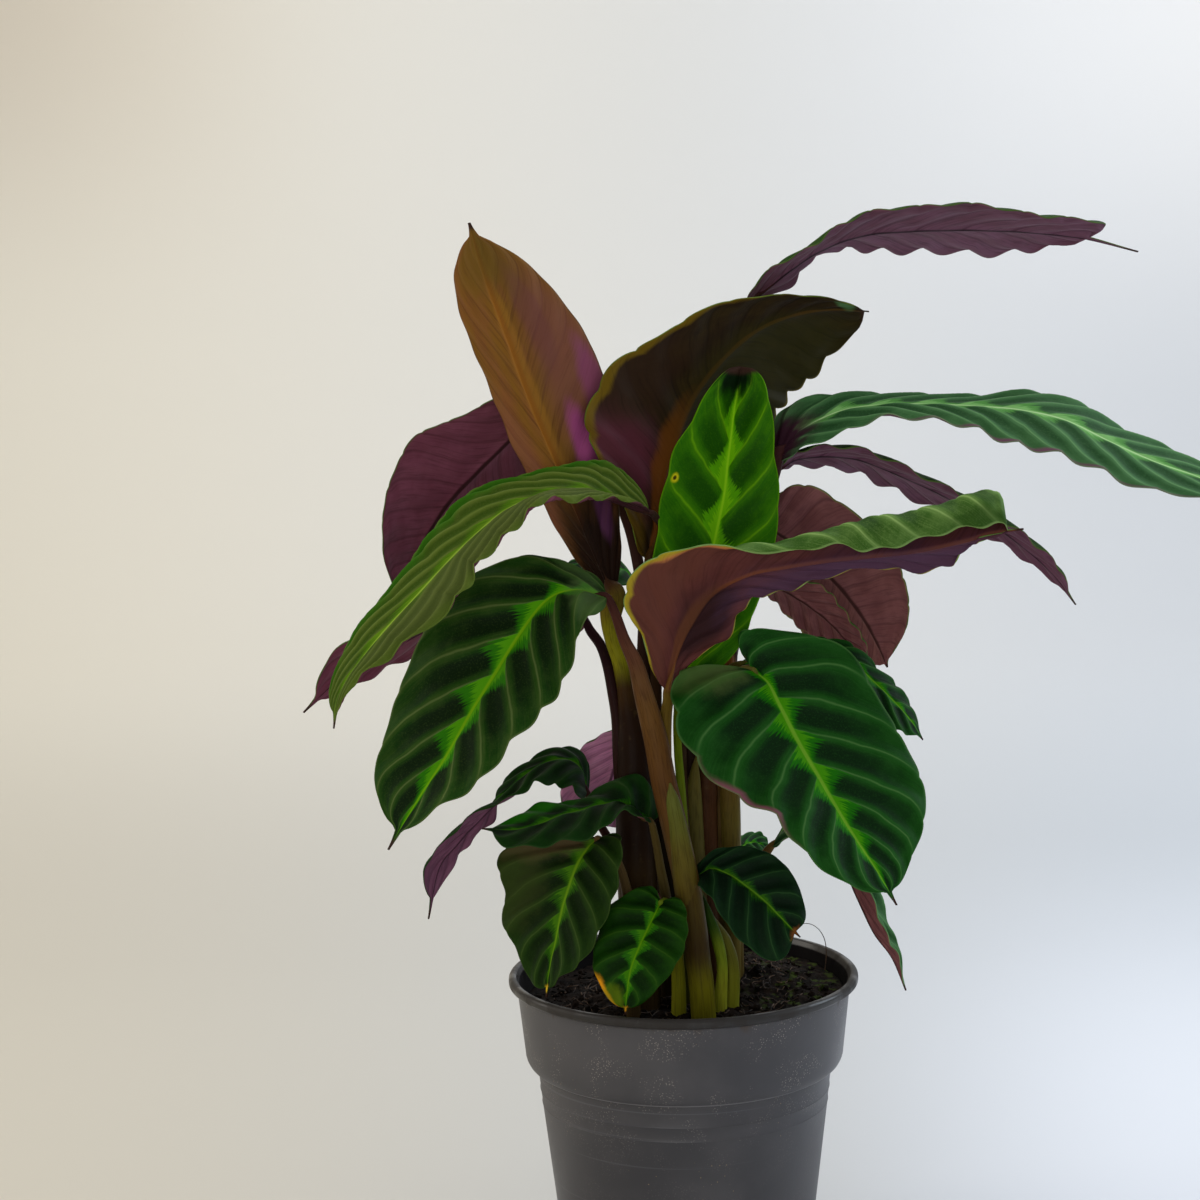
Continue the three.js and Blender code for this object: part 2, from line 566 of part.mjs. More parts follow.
function potSolid() {
  const { height, rimRadius, lipHeight, lipRound, collarFoot, shoulder, floor, footRing } = POT;
  const ringInner = POT.footRadius - POT.footRingWidth;
  const lipFoot = height - lipHeight;
  const floorTop = footRing + floor;
  const profile = [
    [0, 0],
    [POT.padRadius, 0],
    [POT.padRadius + footRing, footRing],
    [ringInner - footRing / 2, footRing],
    [ringInner, 0],
    [POT.footRadius, 0],
    ...shoulderPoints(),
    [POT.collarTopRadius, lipFoot],
    [rimRadius - lipRound / 2, lipFoot],
    [rimRadius, lipFoot + lipRound / 2],
    [rimRadius, height - lipRound],
    [rimRadius - lipRound, height],
    [potInside(height) + lipRound, height],
    [potInside(height), height - lipRound],
    [potInside(collarFoot), collarFoot],
    [potInside(shoulder), shoulder],
    [potInside(floorTop), floorTop],
    [0, floorTop],
  ];
  let solid = toSolid(lathe(profile, POT.sides));
  for (let k = 0; k < POT.drainHoles; k += 1) {
    const angle = (2 * Math.PI * (k + 0.5)) / POT.drainHoles;
    const drill = new THREE.CylinderGeometry(POT.drainRadius, POT.drainRadius, 4 * floor, POT.drainSides);
    drill.rotateX(Math.PI / 2);
    drill.translate(POT.drainCircle * Math.cos(angle), POT.drainCircle * Math.sin(angle), footRing);
    solid = solid.subtract(toSolid(drill));
  }
  return solid;
}

// Height of the soil's loose surface over a place: wide clods one way and narrow ones across them.
function soilRelief(x, y) {
  const [wide, narrow] = SOIL.clods.map((length) => (2 * Math.PI) / length);
  return SOIL.relief * (Math.sin(wide * x) * Math.cos(wide * y) + 0.5 * Math.sin(narrow * (x - y)));
}

function soilSolid(shoots) {
  const floorTop = POT.footRing + POT.floor + SOIL.gap;
  const side = [floorTop, POT.shoulder, POT.collarFoot, SOIL.top].map((z) => [potInside(z) - SOIL.gap, z]);
  const profile = [[0, floorTop], ...side];
  const topRadius = profile.at(-1)[0];
  for (let k = SOIL.rings - 1; k >= 0; k -= 1) {
    profile.push([(topRadius * k) / SOIL.rings, SOIL.top]);
  }
  const geometry = lathe(profile, SOIL.sides);
  const position = geometry.attributes.position;
  for (let k = 0; k < position.count; k += 1) {
    if (position.getZ(k) > POT.collarFoot + 1) {
      position.setZ(k, SOIL.top + soilRelief(position.getX(k), position.getY(k)));
    }
  }
  let solid = toSolid(geometry);
  for (const arm of shoots.flatMap((shoot) => shoot.arms)) {
    const [x, y, z, radius] = arm.points.at(-1);
    if (z < SOIL.top) {
      const deeper = [...arm.points.slice(0, -1), [x, y, z - SOIL.gap, radius]];
      solid = solid.subtract(toSolid(armGeometry(deeper, SOIL.gap)));
    }
  }
  return mainBody(solid);
}

// ---- the whole plant ----------------------------------------------------------------------------

const plant = new THREE.Group();
const shoots = Object.values(SHOOTS);

plant.add(namedMesh('pot', toGeometry(potSolid()), { color: 0x3b3b40, roughness: 0.6, metalness: 0 }));
plant.add(namedMesh('soil', toGeometry(soilSolid(shoots)), { color: 0x1c1410, roughness: 1, metalness: 0 }));

for (const [name, shoot] of Object.entries(SHOOTS)) {
  const stem = { color: shoot.colour, roughness: 0.5, metalness: 0 };
  plant.add(namedMesh(name, toGeometry(shootSolid(shoot)), stem));
}
for (const [name, leaf] of Object.entries(LEAVES)) {
  const skin = { color: leaf.colour, roughness: 0.45, metalness: 0 };
  plant.add(namedMesh(name, bladeGeometry(leaf), skin));
}

export default plant;
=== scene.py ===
"""A calathea in its nursery pot: waved, feather-marked blades on curved stalks, rooted in a pot of soil."""

import math
import random

import bmesh
import bpy
from mathutils import Matrix, Vector, noise


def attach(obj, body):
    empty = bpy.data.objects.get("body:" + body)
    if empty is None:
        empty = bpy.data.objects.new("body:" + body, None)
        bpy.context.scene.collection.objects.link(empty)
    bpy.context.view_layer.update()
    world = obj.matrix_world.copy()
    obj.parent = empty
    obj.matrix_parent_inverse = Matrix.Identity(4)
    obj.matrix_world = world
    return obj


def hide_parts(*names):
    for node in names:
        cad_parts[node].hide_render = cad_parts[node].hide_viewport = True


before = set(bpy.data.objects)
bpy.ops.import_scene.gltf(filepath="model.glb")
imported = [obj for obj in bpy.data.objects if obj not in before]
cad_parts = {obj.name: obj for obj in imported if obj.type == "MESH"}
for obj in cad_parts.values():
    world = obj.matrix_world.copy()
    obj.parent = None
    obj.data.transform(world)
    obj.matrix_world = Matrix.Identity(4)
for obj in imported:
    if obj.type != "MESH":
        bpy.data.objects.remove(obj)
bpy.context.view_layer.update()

MM = 0.001
ROOT = "root"
VERTICAL = Vector((0, 0, 1))
FULL_TURN = 2 * math.pi
WELD = 1e-6              # points nearer to each other than this, in metres, become one

# ---- making pieces --------------------------------------------------------------------------------


def smoothed(faces):
    for face in faces:
        face.smooth = True


def welded(shape, verts):
    bmesh.ops.remove_doubles(shape, verts=verts, dist=WELD)


def open_edges(shape):
    return [edge for edge in shape.edges if edge.is_boundary]


def capped(shape):
    """Fills the open ends of a tube, or the open foot of a body."""
    bmesh.ops.holes_fill(shape, edges=open_edges(shape), sides=0)


def finished(name, shape):
    """The mesh that a bmesh has grown into."""
    mesh = bpy.data.meshes.new(name)
    shape.to_mesh(mesh)
    shape.free()
    return mesh


def placed(name, data):
    """A new object, put into the scene."""
    thing = bpy.data.objects.new(name, data)
    bpy.context.scene.collection.objects.link(thing)
    return thing


# ---- colours, in linear light ---------------------------------------------------------------------


def colour(red, green, blue):
    """A colour given in display values from 0 to 255, as linear light."""
    shares = [value / 255 for value in (red, green, blue)]
    return tuple(c / 12.92 if c <= 10 / 255 else ((c + 0.055) / 1.055) ** 2.4 for c in shares)


# ---- shader arithmetic ----------------------------------------------------------------------------


def feed(tree, value, place):
    """Gives a node's input a field, a socket or a plain value."""
    if isinstance(value, Field):
        value = value.socket
    if isinstance(value, bpy.types.NodeSocket):
        tree.links.new(value, place)
    else:
        place.default_value = value


class Field:
    """A number that varies over a surface: the output of a shader node, with arithmetic on it."""

    def __init__(self, tree, socket):
        self.tree = tree
        self.socket = socket

    def math(self, operation, *others):
        node = self.tree.nodes.new("ShaderNodeMath")
        node.operation = operation
        for place, value in zip(node.inputs, (self, *others)):
            feed(self.tree, value, place)
        return Field(self.tree, node.outputs[0])

    def __add__(self, other):
        return self.math("ADD", other)

    def __sub__(self, other):
        return self.math("SUBTRACT", other)

    def __rsub__(self, other):
        return self.math("MULTIPLY", -1.0).math("ADD", other)

    def __mul__(self, other):
        return self.math("MULTIPLY", other)

    def __pow__(self, other):
        return self.math("POWER", other)

    def ramp(self, low, high, bottom=0.0, top=1.0):
        """An eased step from bottom to top as this field goes from low to high."""
        node = self.tree.nodes.new("ShaderNodeMapRange")
        node.interpolation_type = "SMOOTHSTEP"
        names = ("Value", "From Min", "From Max", "To Min", "To Max")
        for name, value in zip(names, (self, low, high, bottom, top)):
            feed(self.tree, value, node.inputs[name])
        return Field(self.tree, node.outputs["Result"])

    def peak(self, width):
        """1 where this field is 0, falling to 0 at width."""
        return self.math("ABSOLUTE").ramp(0.0, width, 1.0, 0.0)


class Finish:
    """A material being made: one Principled surface and the pattern nodes in front of it."""

    def __init__(self, name, **surface):
        self.material = bpy.data.materials.new(name)
        self.material.use_nodes = True
        self.tree = self.material.node_tree
        self.shader = next(n for n in self.tree.nodes if n.type == "BSDF_PRINCIPLED")
        for socket, value in surface.items():
            self.shader.inputs[socket.replace("_", " ")].default_value = value

    def node(self, kind, **inputs):
        """A new node, each of whose inputs is fed what is given for it."""
        node = self.tree.nodes.new(kind)
        for name, value in inputs.items():
            feed(self.tree, value, node.inputs[name])
        return node

    def split(self, vector):
        node = self.node("ShaderNodeSeparateXYZ", Vector=vector)
        return [Field(self.tree, out) for out in node.outputs]

    def coordinates(self, kind="Object"):
        return self.node("ShaderNodeTexCoord").outputs[kind]

    def stretched(self, vector, scale):
        return self.node("ShaderNodeMapping", Vector=vector, Scale=scale).outputs[0]

    def combined(self, x, y):
        return self.node("ShaderNodeCombineXYZ", X=x, Y=y).outputs[0]

    def grain(self, vector, scale, detail=3.0, roughness=0.55):
        """Cloudy noise from 0 to 1."""
        node = self.node("ShaderNodeTexNoise", Vector=vector, Scale=scale, Detail=detail,
                         Roughness=roughness)
        return Field(self.tree, node.outputs["Fac"])

    def cells(self, vector, scale):
        """Distance to the nearest of many scattered points."""
        node = self.node("ShaderNodeTexVoronoi", Vector=vector, Scale=scale)
        return Field(self.tree, node.outputs["Distance"])

    def blend(self, factor, under, over):
        """One colour over another, by a factor from 0 to 1."""
        node = self.node("ShaderNodeMix")
        node.data_type = "RGBA"
        feed(self.tree, factor, node.inputs["Factor"])
        for name, value in (("A", under), ("B", over)):
            place = next(i for i in node.inputs if i.name == name and i.type == "RGBA")
            feed(self.tree, (*value, 1.0) if isinstance(value, tuple) else value, place)
        return next(o for o in node.outputs if o.type == "RGBA")

    def colour(self, socket):
        feed(self.tree, socket, self.shader.inputs["Base Color"])

    def roughness(self, field):
        feed(self.tree, field, self.shader.inputs["Roughness"])

    def gloss(self, field):
        feed(self.tree, field, self.shader.inputs["Specular IOR Level"])

    def relief(self, field, strength, depth=0.001):
        node = self.node("ShaderNodeBump", Height=field, Strength=strength, Distance=depth)
        feed(self.tree, node.outputs["Normal"], self.shader.inputs["Normal"])


# ---- the leaves -----------------------------------------------------------------------------------
# rib: the midrib from base to tip, in millimetres. left, right: from the rib to that edge, as if the
# blade had its full width there: three values are for near the base, the middle and near the tip, and more
# are spaced evenly; left is seen from the green face with the base nearest. curl: how far each half bends
# over, in degrees, or several values along it. shape: how pointed the base and the tip are. waves: how many
# the grid is made fine enough for, and how high they stand in millimetres. veins: side veins on each half,
# and how far they run towards the tip on the left and on the right, as a share of the leaf's length.
# lobes: how deep the margin is scalloped between the veins. tip: where the body of the blade ends and only
# its drip tip goes on. drip: how wide that tip is. face, under: which colours of FACES and of UNDERS.

LEAVES = {
    "upright_left": dict(
        rib=((-31, -4, 337), (-41, -6, 363), (-54, -9, 397), (-67, -13, 430), (-78, -18, 463),
            (-88, -21, 492), (-94, -22, 513)),
        left=((14, 14, 14), (19, 14, 12), (32, 17, 4), (38, 18, -1), (42, 19, -6), (42, 19, -6)),
        right=((-10, 13, -6), (-12, 17, -9), (-14, 21, -10), (-16, 23, -9), (-23, 25, -8), (-23, 25, -8)),
        curl=(-10, -10), shape=(0.6, 0.62), waves=(9, 0.4), veins=(10, 0.3, 0.3), lobes=0.0, face="olive",
        under="amber"),
    "top_centre": dict(
        rib=((-13, 8, 351), (-9, 12, 369), (-6, 17, 389), (1, 23, 409), (10, 30, 428), (25, 37, 446),
            (42, 45, 459), (61, 53, 466), (80, 60, 468), (99, 66, 466)),
        left=((27, 22, -8), (27, 22, -13), (31, 24, -18), (36, 28, -20), (36, 28, -22), (28, 28, -28),
            (19, 28, -34), (12, 25, -38), (4, 22, -34), (4, 22, -30)),
        right=((-17, -6, 6), (-19, -12, 1), (-35, -24, 13), (-45, -34, 11), (-40, -32, 16), (-30, -26, 12),
            (-23, -22, 13), (-15, -18, 11), (-10, -16, 10), (-10, -15, 10)),
        curl=(12, 15), shape=(0.5, 0.45), waves=(9, 0.8), veins=(10, 0.2, 0.2), lobes=0.055, tip=0.98,
        drip=0, face="olive", under="brown"),
    "bright_centre": dict(
        rib=((1, 0, 289), (7, 2, 313), (13, 5, 336), (18, 8, 358), (23, 11, 379), (26, 14, 400),
            (29, 17, 421), (33, 20, 442)),
        left=((-18, -12, 6), (-20, -13, -1), (-26, -15, -1), (-28, -14, 0), (-29, -14, 3), (-29, -16, 3),
            (-23, -18, 4), (-23, -18, 4)),
        right=((32, -6, 4), (31, -8, 0), (27, -9, -3), (27, -8, -3), (26, -8, 0), (23, -9, 0), (23, -12, 3),
            (23, -12, 3)),
        curl=(15, 15), shape=(0.45, 0.45), waves=(8, 0.8), veins=(6, 0.22, 0.22), lobes=0.02, tip=1.0,
        drip=0, face="bright", under="plum"),
    "front_rolled": dict(
        rib=((-6, -24, 293), (-2, -28, 310), (5, -32, 326), (16, -37, 341), (32, -43, 350), (51, -48, 354),
            (69, -53, 357), (88, -57, 359), (106, -61, 361), (125, -64, 365), (141, -66, 369),
            (155, -68, 371)),
        left=((17, 10, -3), (17, 10, -7), (27, 15, -16), (18, 13, -14), (6, 10, -14), (0, 6, -13),
            (-4, 6, -9), (1, 12, -6), (1, 12, -10), (-2, 9, -11), (-9, 4, -5), (-9, 4, -5)),
        right=((-30, -14, 20), (-34, -16, 19), (-52, -21, 22), (-45, -20, 22), (-26, -16, 18), (-7, -15, 8),
            (-1, -16, 8), (-2, -16, 4), (-2, -14, 6), (-2, -14, 7), (-2, -17, 6), (-2, -17, 6)),
        curl=(10, (20, 20, 20, 25, 50, 185, 212, 250, 254, 254, 260, 262)), shape=(0.5, 0.12),
        waves=(11, 1.2), veins=(11, 0.2, 0.2), lobes=0.06, drip=0.25, face="silver", under="rose"),
    "arched_left": dict(
        rib=((-13, -12, 376), (-28, -22, 383), (-43, -32, 390), (-61, -40, 389), (-80, -46, 382),
            (-100, -51, 366), (-119, -57, 347), (-141, -66, 324), (-156, -72, 303), (-159, -76, 287)),
        left=((-2, -18, 10), (-2, -21, 4), (-1, -20, -4), (-1, -18, -2), (5, -18, -6), (9, -17, -5),
            (20, -18, -3), (14, -20, -4), (14, -20, 8), (14, -20, 8)),
        right=((-2, 20, 24), (-4, 20, 22), (-4, 18, 11), (-7, 18, 7), (-15, 18, 7), (-14, 19, 6),
            (-11, 21, 6), (-14, 23, 2), (-12, 20, 0), (-12, 20, 0)),
        curl=(30, 30), shape=(0.5, 0.6), waves=(11, 1.6), veins=(11, 0.34, 0.34), lobes=0.1, face="pale",
        under="plum"),
    "front_left": dict(
        rib=((-34, -24, 338), (-49, -33, 343), (-62, -39, 339), (-74, -45, 325), (-86, -51, 307),
            (-98, -57, 289), (-109, -63, 271), (-122, -69, 252), (-136, -74, 230)),
        left=((2, -28, -14), (6, -31, -16), (14, -29, -21), (18, -26, -22), (20, -26, -15), (19, -29, -12),
            (18, -32, -13), (14, -27, -7), (14, -27, -7)),
        right=((0, 20, 16), (-2, 20, 13), (-8, 18, 20), (-23, 17, 24), (-31, 17, 22), (-34, 19, 15),
            (-38, 20, 9), (-44, 18, 12), (-44, 18, 12)),
        curl=(18, 18), shape=(0.5, 0.6), waves=(8, 1.2), veins=(8, 0.16, 0.28), lobes=0.035, drip=0.7,
        face="velvet", under="plum"),
    "back_left": dict(
        rib=((-54, 36, 431), (-78, 38, 410), (-97, 40, 392), (-112, 43, 376), (-125, 44, 356),
            (-133, 42, 339), (-137, 40, 327)),
        left=((-14, -18, 23), (-16, -25, 31), (-15, -27, 31)),
        right=((34, 28, -20), (25, 23, -20), (22, 26, -16)),
        curl=(10, 10), shape=(0.6, 0.6), waves=(9, 0.6), veins=(9, 0.25, 0.25), face="velvet",
        under="plum"),
    "purple_left": dict(
        rib=((-45, 6, 324), (-56, 12, 330), (-73, 16, 333), (-93, 18, 330), (-115, 17, 322),
            (-137, 14, 311), (-161, 8, 299), (-181, 2, 281)),
        left=((-5, -36, 17), (-5, -36, 14), (-1, -31, 15), (-2, -28, 14), (-5, -29, 19), (-7, -29, 15),
            (-10, -26, 19), (-10, -26, 19)),
        right=((6, 36, -25), (6, 39, -29), (1, 33, -28), (-2, 30, -28), (-2, 31, -18), (-1, 31, -15),
            (6, 26, -15), (6, 26, -15)),
        curl=(10, 10), shape=(0.6, 0.6), waves=(8, 1.2), veins=(8, 0.25, 0.25), face="velvet",
        under="plum"),
    "top_right": dict(
        rib=((39, 60, 472), (54, 61, 484), (68, 62, 494), (83, 63, 501), (100, 64, 505), (121, 65, 506),
            (144, 66, 506), (168, 65, 505), (188, 63, 503), (206, 62, 500), (231, 60, 493)),
        left=((12, 26, -9), (12, 26, -9), (3, 32, -4), (2, 31, -5), (-1, 31, -9), (-3, 32, -11),
            (-5, 34, -12), (-5, 35, -13), (-5, 33, -10), (-6, 23, -6), (-6, 23, -6)),
        right=((-11, -26, 7), (-11, -26, 7), (-5, -32, 4), (-4, -31, 7), (-3, -31, 10), (0, -32, 11),
            (2, -34, 12), (3, -35, 8), (5, -33, 8), (22, -23, 10), (22, -23, 10)),
        curl=(10, 10), shape=(0.55, 0.3), waves=(10, 1.3), veins=(10, 0.2, 0.2), lobes=0.1, tip=0.9,
        drip=0.25, face="velvet", under="violet"),
    "arched_right": dict(
        rib=((49, 20, 398), (60, 16, 411), (80, 12, 421), (101, 8, 424), (122, 4, 424), (142, 0, 423),
            (163, -4, 421), (184, -8, 416), (204, -12, 406), (225, -15, 396), (250, -18, 386),
            (274, -22, 368)),
        left=((-10, 14, 10), (-12, 20, 12), (-7, 25, 7), (0, 26, 3), (3, 27, 2), (6, 28, 2), (12, 30, 6),
            (16, 32, 5), (15, 34, 4), (17, 36, 8), (18, 36, 8), (18, 36, 8)),
        right=((4, -5, -8), (0, -8, -12), (-2, -12, -12), (-5, -18, -5), (-4, -21, -6), (-4, -22, -9),
            (-8, -24, -14), (-12, -26, -15), (-14, -29, -14), (-15, -32, -18), (-12, -34, -20),
            (-12, -34, -20)),
        curl=(10, 16), shape=(0.5, 0.6), waves=(10, 1.3), veins=(11, 0.2, 0.2), lobes=0.06, face="fresh",
        under="violet"),
    "drooping_right": dict(
        rib=((50, 40, 390), (62, 40, 397), (87, 38, 397), (111, 35, 388), (139, 31, 374), (163, 26, 358),
            (182, 21, 341), (194, 18, 324)),
        left=((-2, 28, -10), (-4, 28, -8), (-6, 24, -4)),
        right=((0, -28, 7), (4, -28, 2), (6, -24, 2)),
        curl=(10, 10), shape=(0.8, 0.75), waves=(10, 1.4), veins=(10, 0.2, 0.2), lobes=0.1, face="velvet",
        under="violet"),
    "back_right": dict(
        rib=((45, 46, 364), (62, 48, 351), (80, 48, 334), (93, 46, 317), (101, 44, 302), (105, 42, 291)),
        left=((-25, 24, -17), (-23, 23, -17), (-11, 25, -14)),
        right=((2, -18, 41), (16, -19, 28), (18, -19, 23)),
        curl=(10, 10), shape=(0.6, 0.55), waves=(7, 0.8), veins=(9, 0.2, 0.2), lobes=0.05, face="velvet",
        under="mauve"),
    "narrow_back_right": dict(
        rib=((46, 30, 337), (61, 32, 328), (75, 33, 317), (86, 33, 305), (95, 32, 297)),
        left=((-7, 12, -8), (-8, 11, -9), (-6, 14, -10)),
        right=((9, -9, 7), (6, -9, 7), (8, -13, 5)),
        curl=(10, 10), shape=(0.55, 0.8), waves=(6, 1.0), veins=(7, 0.25, 0.25), face="velvet",
        under="mauve"),
    "front_right": dict(
        rib=((35, -14, 300), (42, -21, 295), (48, -29, 283), (55, -37, 269), (63, -45, 255), (71, -52, 241),
            (79, -58, 228), (88, -63, 214), (97, -68, 198)),
        left=((-22, 8, 34), (0, 10, 29), (29, 13, 29), (38, 14, 17), (43, 15, 11), (48, 15, 5),
            (45, 15, -1), (37, 16, -1), (37, 16, -1)),
        right=((-50, -5, 10), (-53, -8, 6), (-53, -15, 2), (-49, -16, -3), (-40, -16, -6), (-34, -20, 1),
            (-34, -23, -5), (-32, -24, -11), (-32, -24, -11)),
        curl=(18, 18), shape=(0.4, 0.6), waves=(8, 1.3), veins=(8, 0.27, 0.25), lobes=0.03, drip=0.5,
        face="forest", under="rose"),
    "middle_right": dict(
        rib=((29, 10, 299), (55, 12, 306), (79, 10, 303), (97, 6, 288), (110, 0, 274), (117, -4, 263)),
        left=((6, 9, 3), (4, 12, 4), (5, 23, 7)),
        right=((-7, -14, -20), (-7, -15, -13), (-10, -19, -9)),
        curl=(20, 20), shape=(0.55, 0.8), waves=(7, 1.2), veins=(8, 0.2, 0.2), face="forest", under="plum"),
    "small_right": dict(
        rib=((5, -28, 203), (13, -34, 209), (22, -40, 207), (30, -45, 202), (38, -50, 196), (45, -54, 189),
            (53, -58, 181)),
        left=((0, 2, 12), (6, 3, 10), (10, 4, 12), (13, 5, 12), (14, 5, 10), (14, 4, 7), (14, 4, 7)),
        right=((-4, -7, -9), (-8, -8, -8), (-10, -11, -8), (-11, -11, -13), (-11, -11, -18), (-6, -10, -24),
            (-6, -10, -24)),
        curl=(18, 18), shape=(0.45, 0.4), waves=(6, 0.8), veins=(6, 0.2, 0.2), lobes=0.01, drip=0.4,
        face="holly", under="plum"),
    "small_centre": dict(
        rib=((-11, -46, 196), (-14, -50, 192), (-18, -54, 185), (-22, -58, 178), (-26, -62, 169),
            (-28, -65, 159), (-29, -67, 148)),
        left=((13, -4, 8), (15, -4, 4), (18, -5, 3), (20, -5, 0), (21, -6, 0), (18, -6, -1), (18, -6, -1)),
        right=((-4, 9, 12), (-8, 10, 11), (-17, 9, 9), (-19, 7, 2), (-19, 6, 0), (-17, 5, -1),
            (-17, 5, -1)),
        curl=(18, 18), shape=(0.42, 0.5), waves=(6, 0.8), veins=(6, 0.2, 0.2), lobes=0.01, drip=0.5,
        face="lively", under="plum"),
    "small_left": dict(
        rib=((-40, -32, 224), (-45, -34, 220), (-50, -37, 213), (-54, -40, 204), (-58, -43, 192),
            (-61, -45, 179), (-64, -46, 166), (-66, -45, 151)),
        left=((18, -10, 8), (18, -12, 4), (19, -12, -2), (19, -13, -6), (18, -15, -9), (14, -18, -11),
            (8, -17, -8), (8, -17, -8)),
        right=((-38, 12, 4), (-40, 12, 1), (-38, 11, -1), (-30, 11, -6), (-30, 12, -8), (-24, 13, -9),
            (-19, 13, -18), (-19, 13, -18)),
        curl=(18, 18), shape=(0.4, 0.6), waves=(7, 1.0), veins=(7, 0.2, 0.2), lobes=0.03, drip=0.6,
        face="mossy", under="brown"),
    "middle_left": dict(
        rib=((-15, -30, 231), (-22, -33, 237), (-29, -36, 242), (-39, -38, 242), (-48, -40, 240),
            (-58, -42, 238), (-69, -44, 234), (-81, -45, 232), (-94, -46, 233)),
        left=((2, -14, 3), (4, -17, -1), (3, -22, 1), (4, -22, -4), (5, -22, -8), (1, -24, -8),
            (-1, -27, -7), (-7, -27, -9), (-7, -27, -9)),
        right=((14, 9, 4), (12, 11, 6), (8, 13, 11), (0, 14, 4), (-2, 16, 0), (-3, 20, 2), (-4, 27, 5),
            (-5, 27, 2), (-5, 27, 2)),
        curl=(20, 20), shape=(0.5, 0.6), waves=(6, 1.0), veins=(6, 0.2, 0.2), face="shade", under="plum"),
    "thin_left": dict(
        rib=((-45, 6, 238), (-48, 3, 252), (-58, -1, 257), (-71, -6, 253), (-84, -10, 243), (-96, -14, 232),
            (-107, -18, 221), (-117, -21, 208), (-122, -22, 184)),
        left=((-5, -20, -10), (-5, -20, -10), (-1, -18, -10), (3, -16, -3), (5, -13, 0), (-2, -13, 5),
            (-7, -16, 4), (-13, -20, 3), (-13, -20, 3)),
        right=((3, 17, 2), (3, 17, 2), (1, 15, 3), (-3, 14, 0), (-3, 10, 0), (6, 9, -4), (6, 11, -4),
            (13, 16, -2), (13, 16, -2)),
        curl=(20, 20), shape=(0.5, 0.6), waves=(7, 1.0), veins=(8, 0.2, 0.2), lobes=0.08, drip=0.6,
        face="shade", under="lilac"),
    "low_back_left": dict(
        rib=((-20, 26, 267), (-28, 31, 255), (-33, 34, 242), (-37, 34, 230), (-43, 32, 216)),
        left=((-21, -7, 1), (-25, -9, -3), (-30, -13, -7)),
        right=((14, 14, -15), (14, 12, -20), (16, 12, -26)),
        curl=(10, 10), shape=(0.55, 0.8), waves=(6, 0.8), veins=(8, 0.25, 0.25), face="velvet",
        under="orchid"),
    "tiny_back": dict(
        rib=((25, 27, 192), (29, 34, 201), (34, 40, 204), (40, 44, 203), (46, 46, 198)),
        left=((-4, 14, 2), (4, 14, 2), (6, 10, 2)),
        right=((4, -12, -4), (2, -12, -6), (0, -10, -4)),
        curl=(15, 15), shape=(0.55, 0.8), waves=(5, 0.6), veins=(6, 0.2, 0.2), face="forest", under="plum"),
    "hanging_right": dict(
        rib=((44, 2, 211), (52, 0, 222), (65, -4, 223), (76, -10, 210), (84, -16, 191), (92, -20, 173),
            (100, -22, 161), (106, -24, 145)),
        left=((6, 18, 3), (12, 14, 3), (10, 12, 2)),
        right=((2, -16, -2), (7, -14, 0), (7, -12, 1)),
        curl=(10, 10), shape=(0.55, 0.8), waves=(7, 0.9), veins=(8, 0.2, 0.2), face="fresh", under="mauve"),
    "small_back": dict(
        rib=((-17, 34, 332), (-24, 38, 342), (-36, 41, 346), (-46, 42, 346), (-56, 41, 344)),
        left=((4, -14, -6), (0, -15, -6), (-2, -12, -5)),
        right=((-4, 16, 4), (0, 17, 4), (-2, 14, 2)),
        curl=(15, 15), shape=(0.55, 0.8), waves=(5, 0.8), veins=(6, 0.2, 0.2), face="forest", under="plum"),
}

BLADE_THICKNESS = 0.6
RIB_THICKNESS = 1.7      # at the base, thinning to the blade's own at the tip
RIB_WIDTH = 0.05         # of the midrib's ridge and channel, as a share of the half width
CHANNEL_DEPTH = 0.7      # of the groove along the midrib
BASE_HALF = 1.5          # half width where the blade meets its stalk
TIP_HALF = 0.4
TIP_START = 0.95         # where along the leaf only its narrow drip tip goes on
DRIP_WIDTH = 0.28        # of the drip tip where it begins, as a share of the blade's own
DRIP_LENGTH = 0.14       # share of the leaf over which the drip tip narrows to its end
LOBE_DEPTH = 0.03
MARGIN_NOISE = 0.015     # unevenness of the margin, as a share of the half width
PLEAT_HEIGHT = 0.55      # of the folds between the side veins
CRUMPLE_HEIGHT = 1.1     # of the loose unevenness towards the margin
LEFT_VEIN_START = 0.45   # the side veins of the left half leave the rib between those of the right half
ROWS_PER_WAVE = 14
COLUMNS = 44


def smooth_between(values, t):
    """The smooth curve through evenly spaced numbers or vectors, t running from 0 to 1."""
    led = [2 * values[0] - values[1], *values, 2 * values[-1] - values[-2]]
    place = t * (len(values) - 1)
    k = min(int(place), len(values) - 2)
    before, start, end, after = led[k:k + 4]
    w = place - k
    leave, arrive = (end - before) / 2, (after - start) / 2
    cubic = 2 * (start - end) + leave + arrive
    square = 3 * (end - start) - 2 * leave - arrive
    return cubic * w ** 3 + square * w ** 2 + leave * w + start


def along(points, t):
    return smooth_between([Vector(p) for p in points], t)


def direction(points, t, step=0.01):
    """Which way the curve through the points runs at t."""
    return (along(points, min(t + step, 1)) - along(points, max(t - step, 0))).normalized()


def eased(x):
    """A soft step from 0 to 1 as x goes from 0 to 1."""
    x = min(max(x, 0.0), 1.0)
    return x * x * (3 - 2 * x)


STATIONS = (0.0, 0.2, 0.5, 0.8, 1.0)


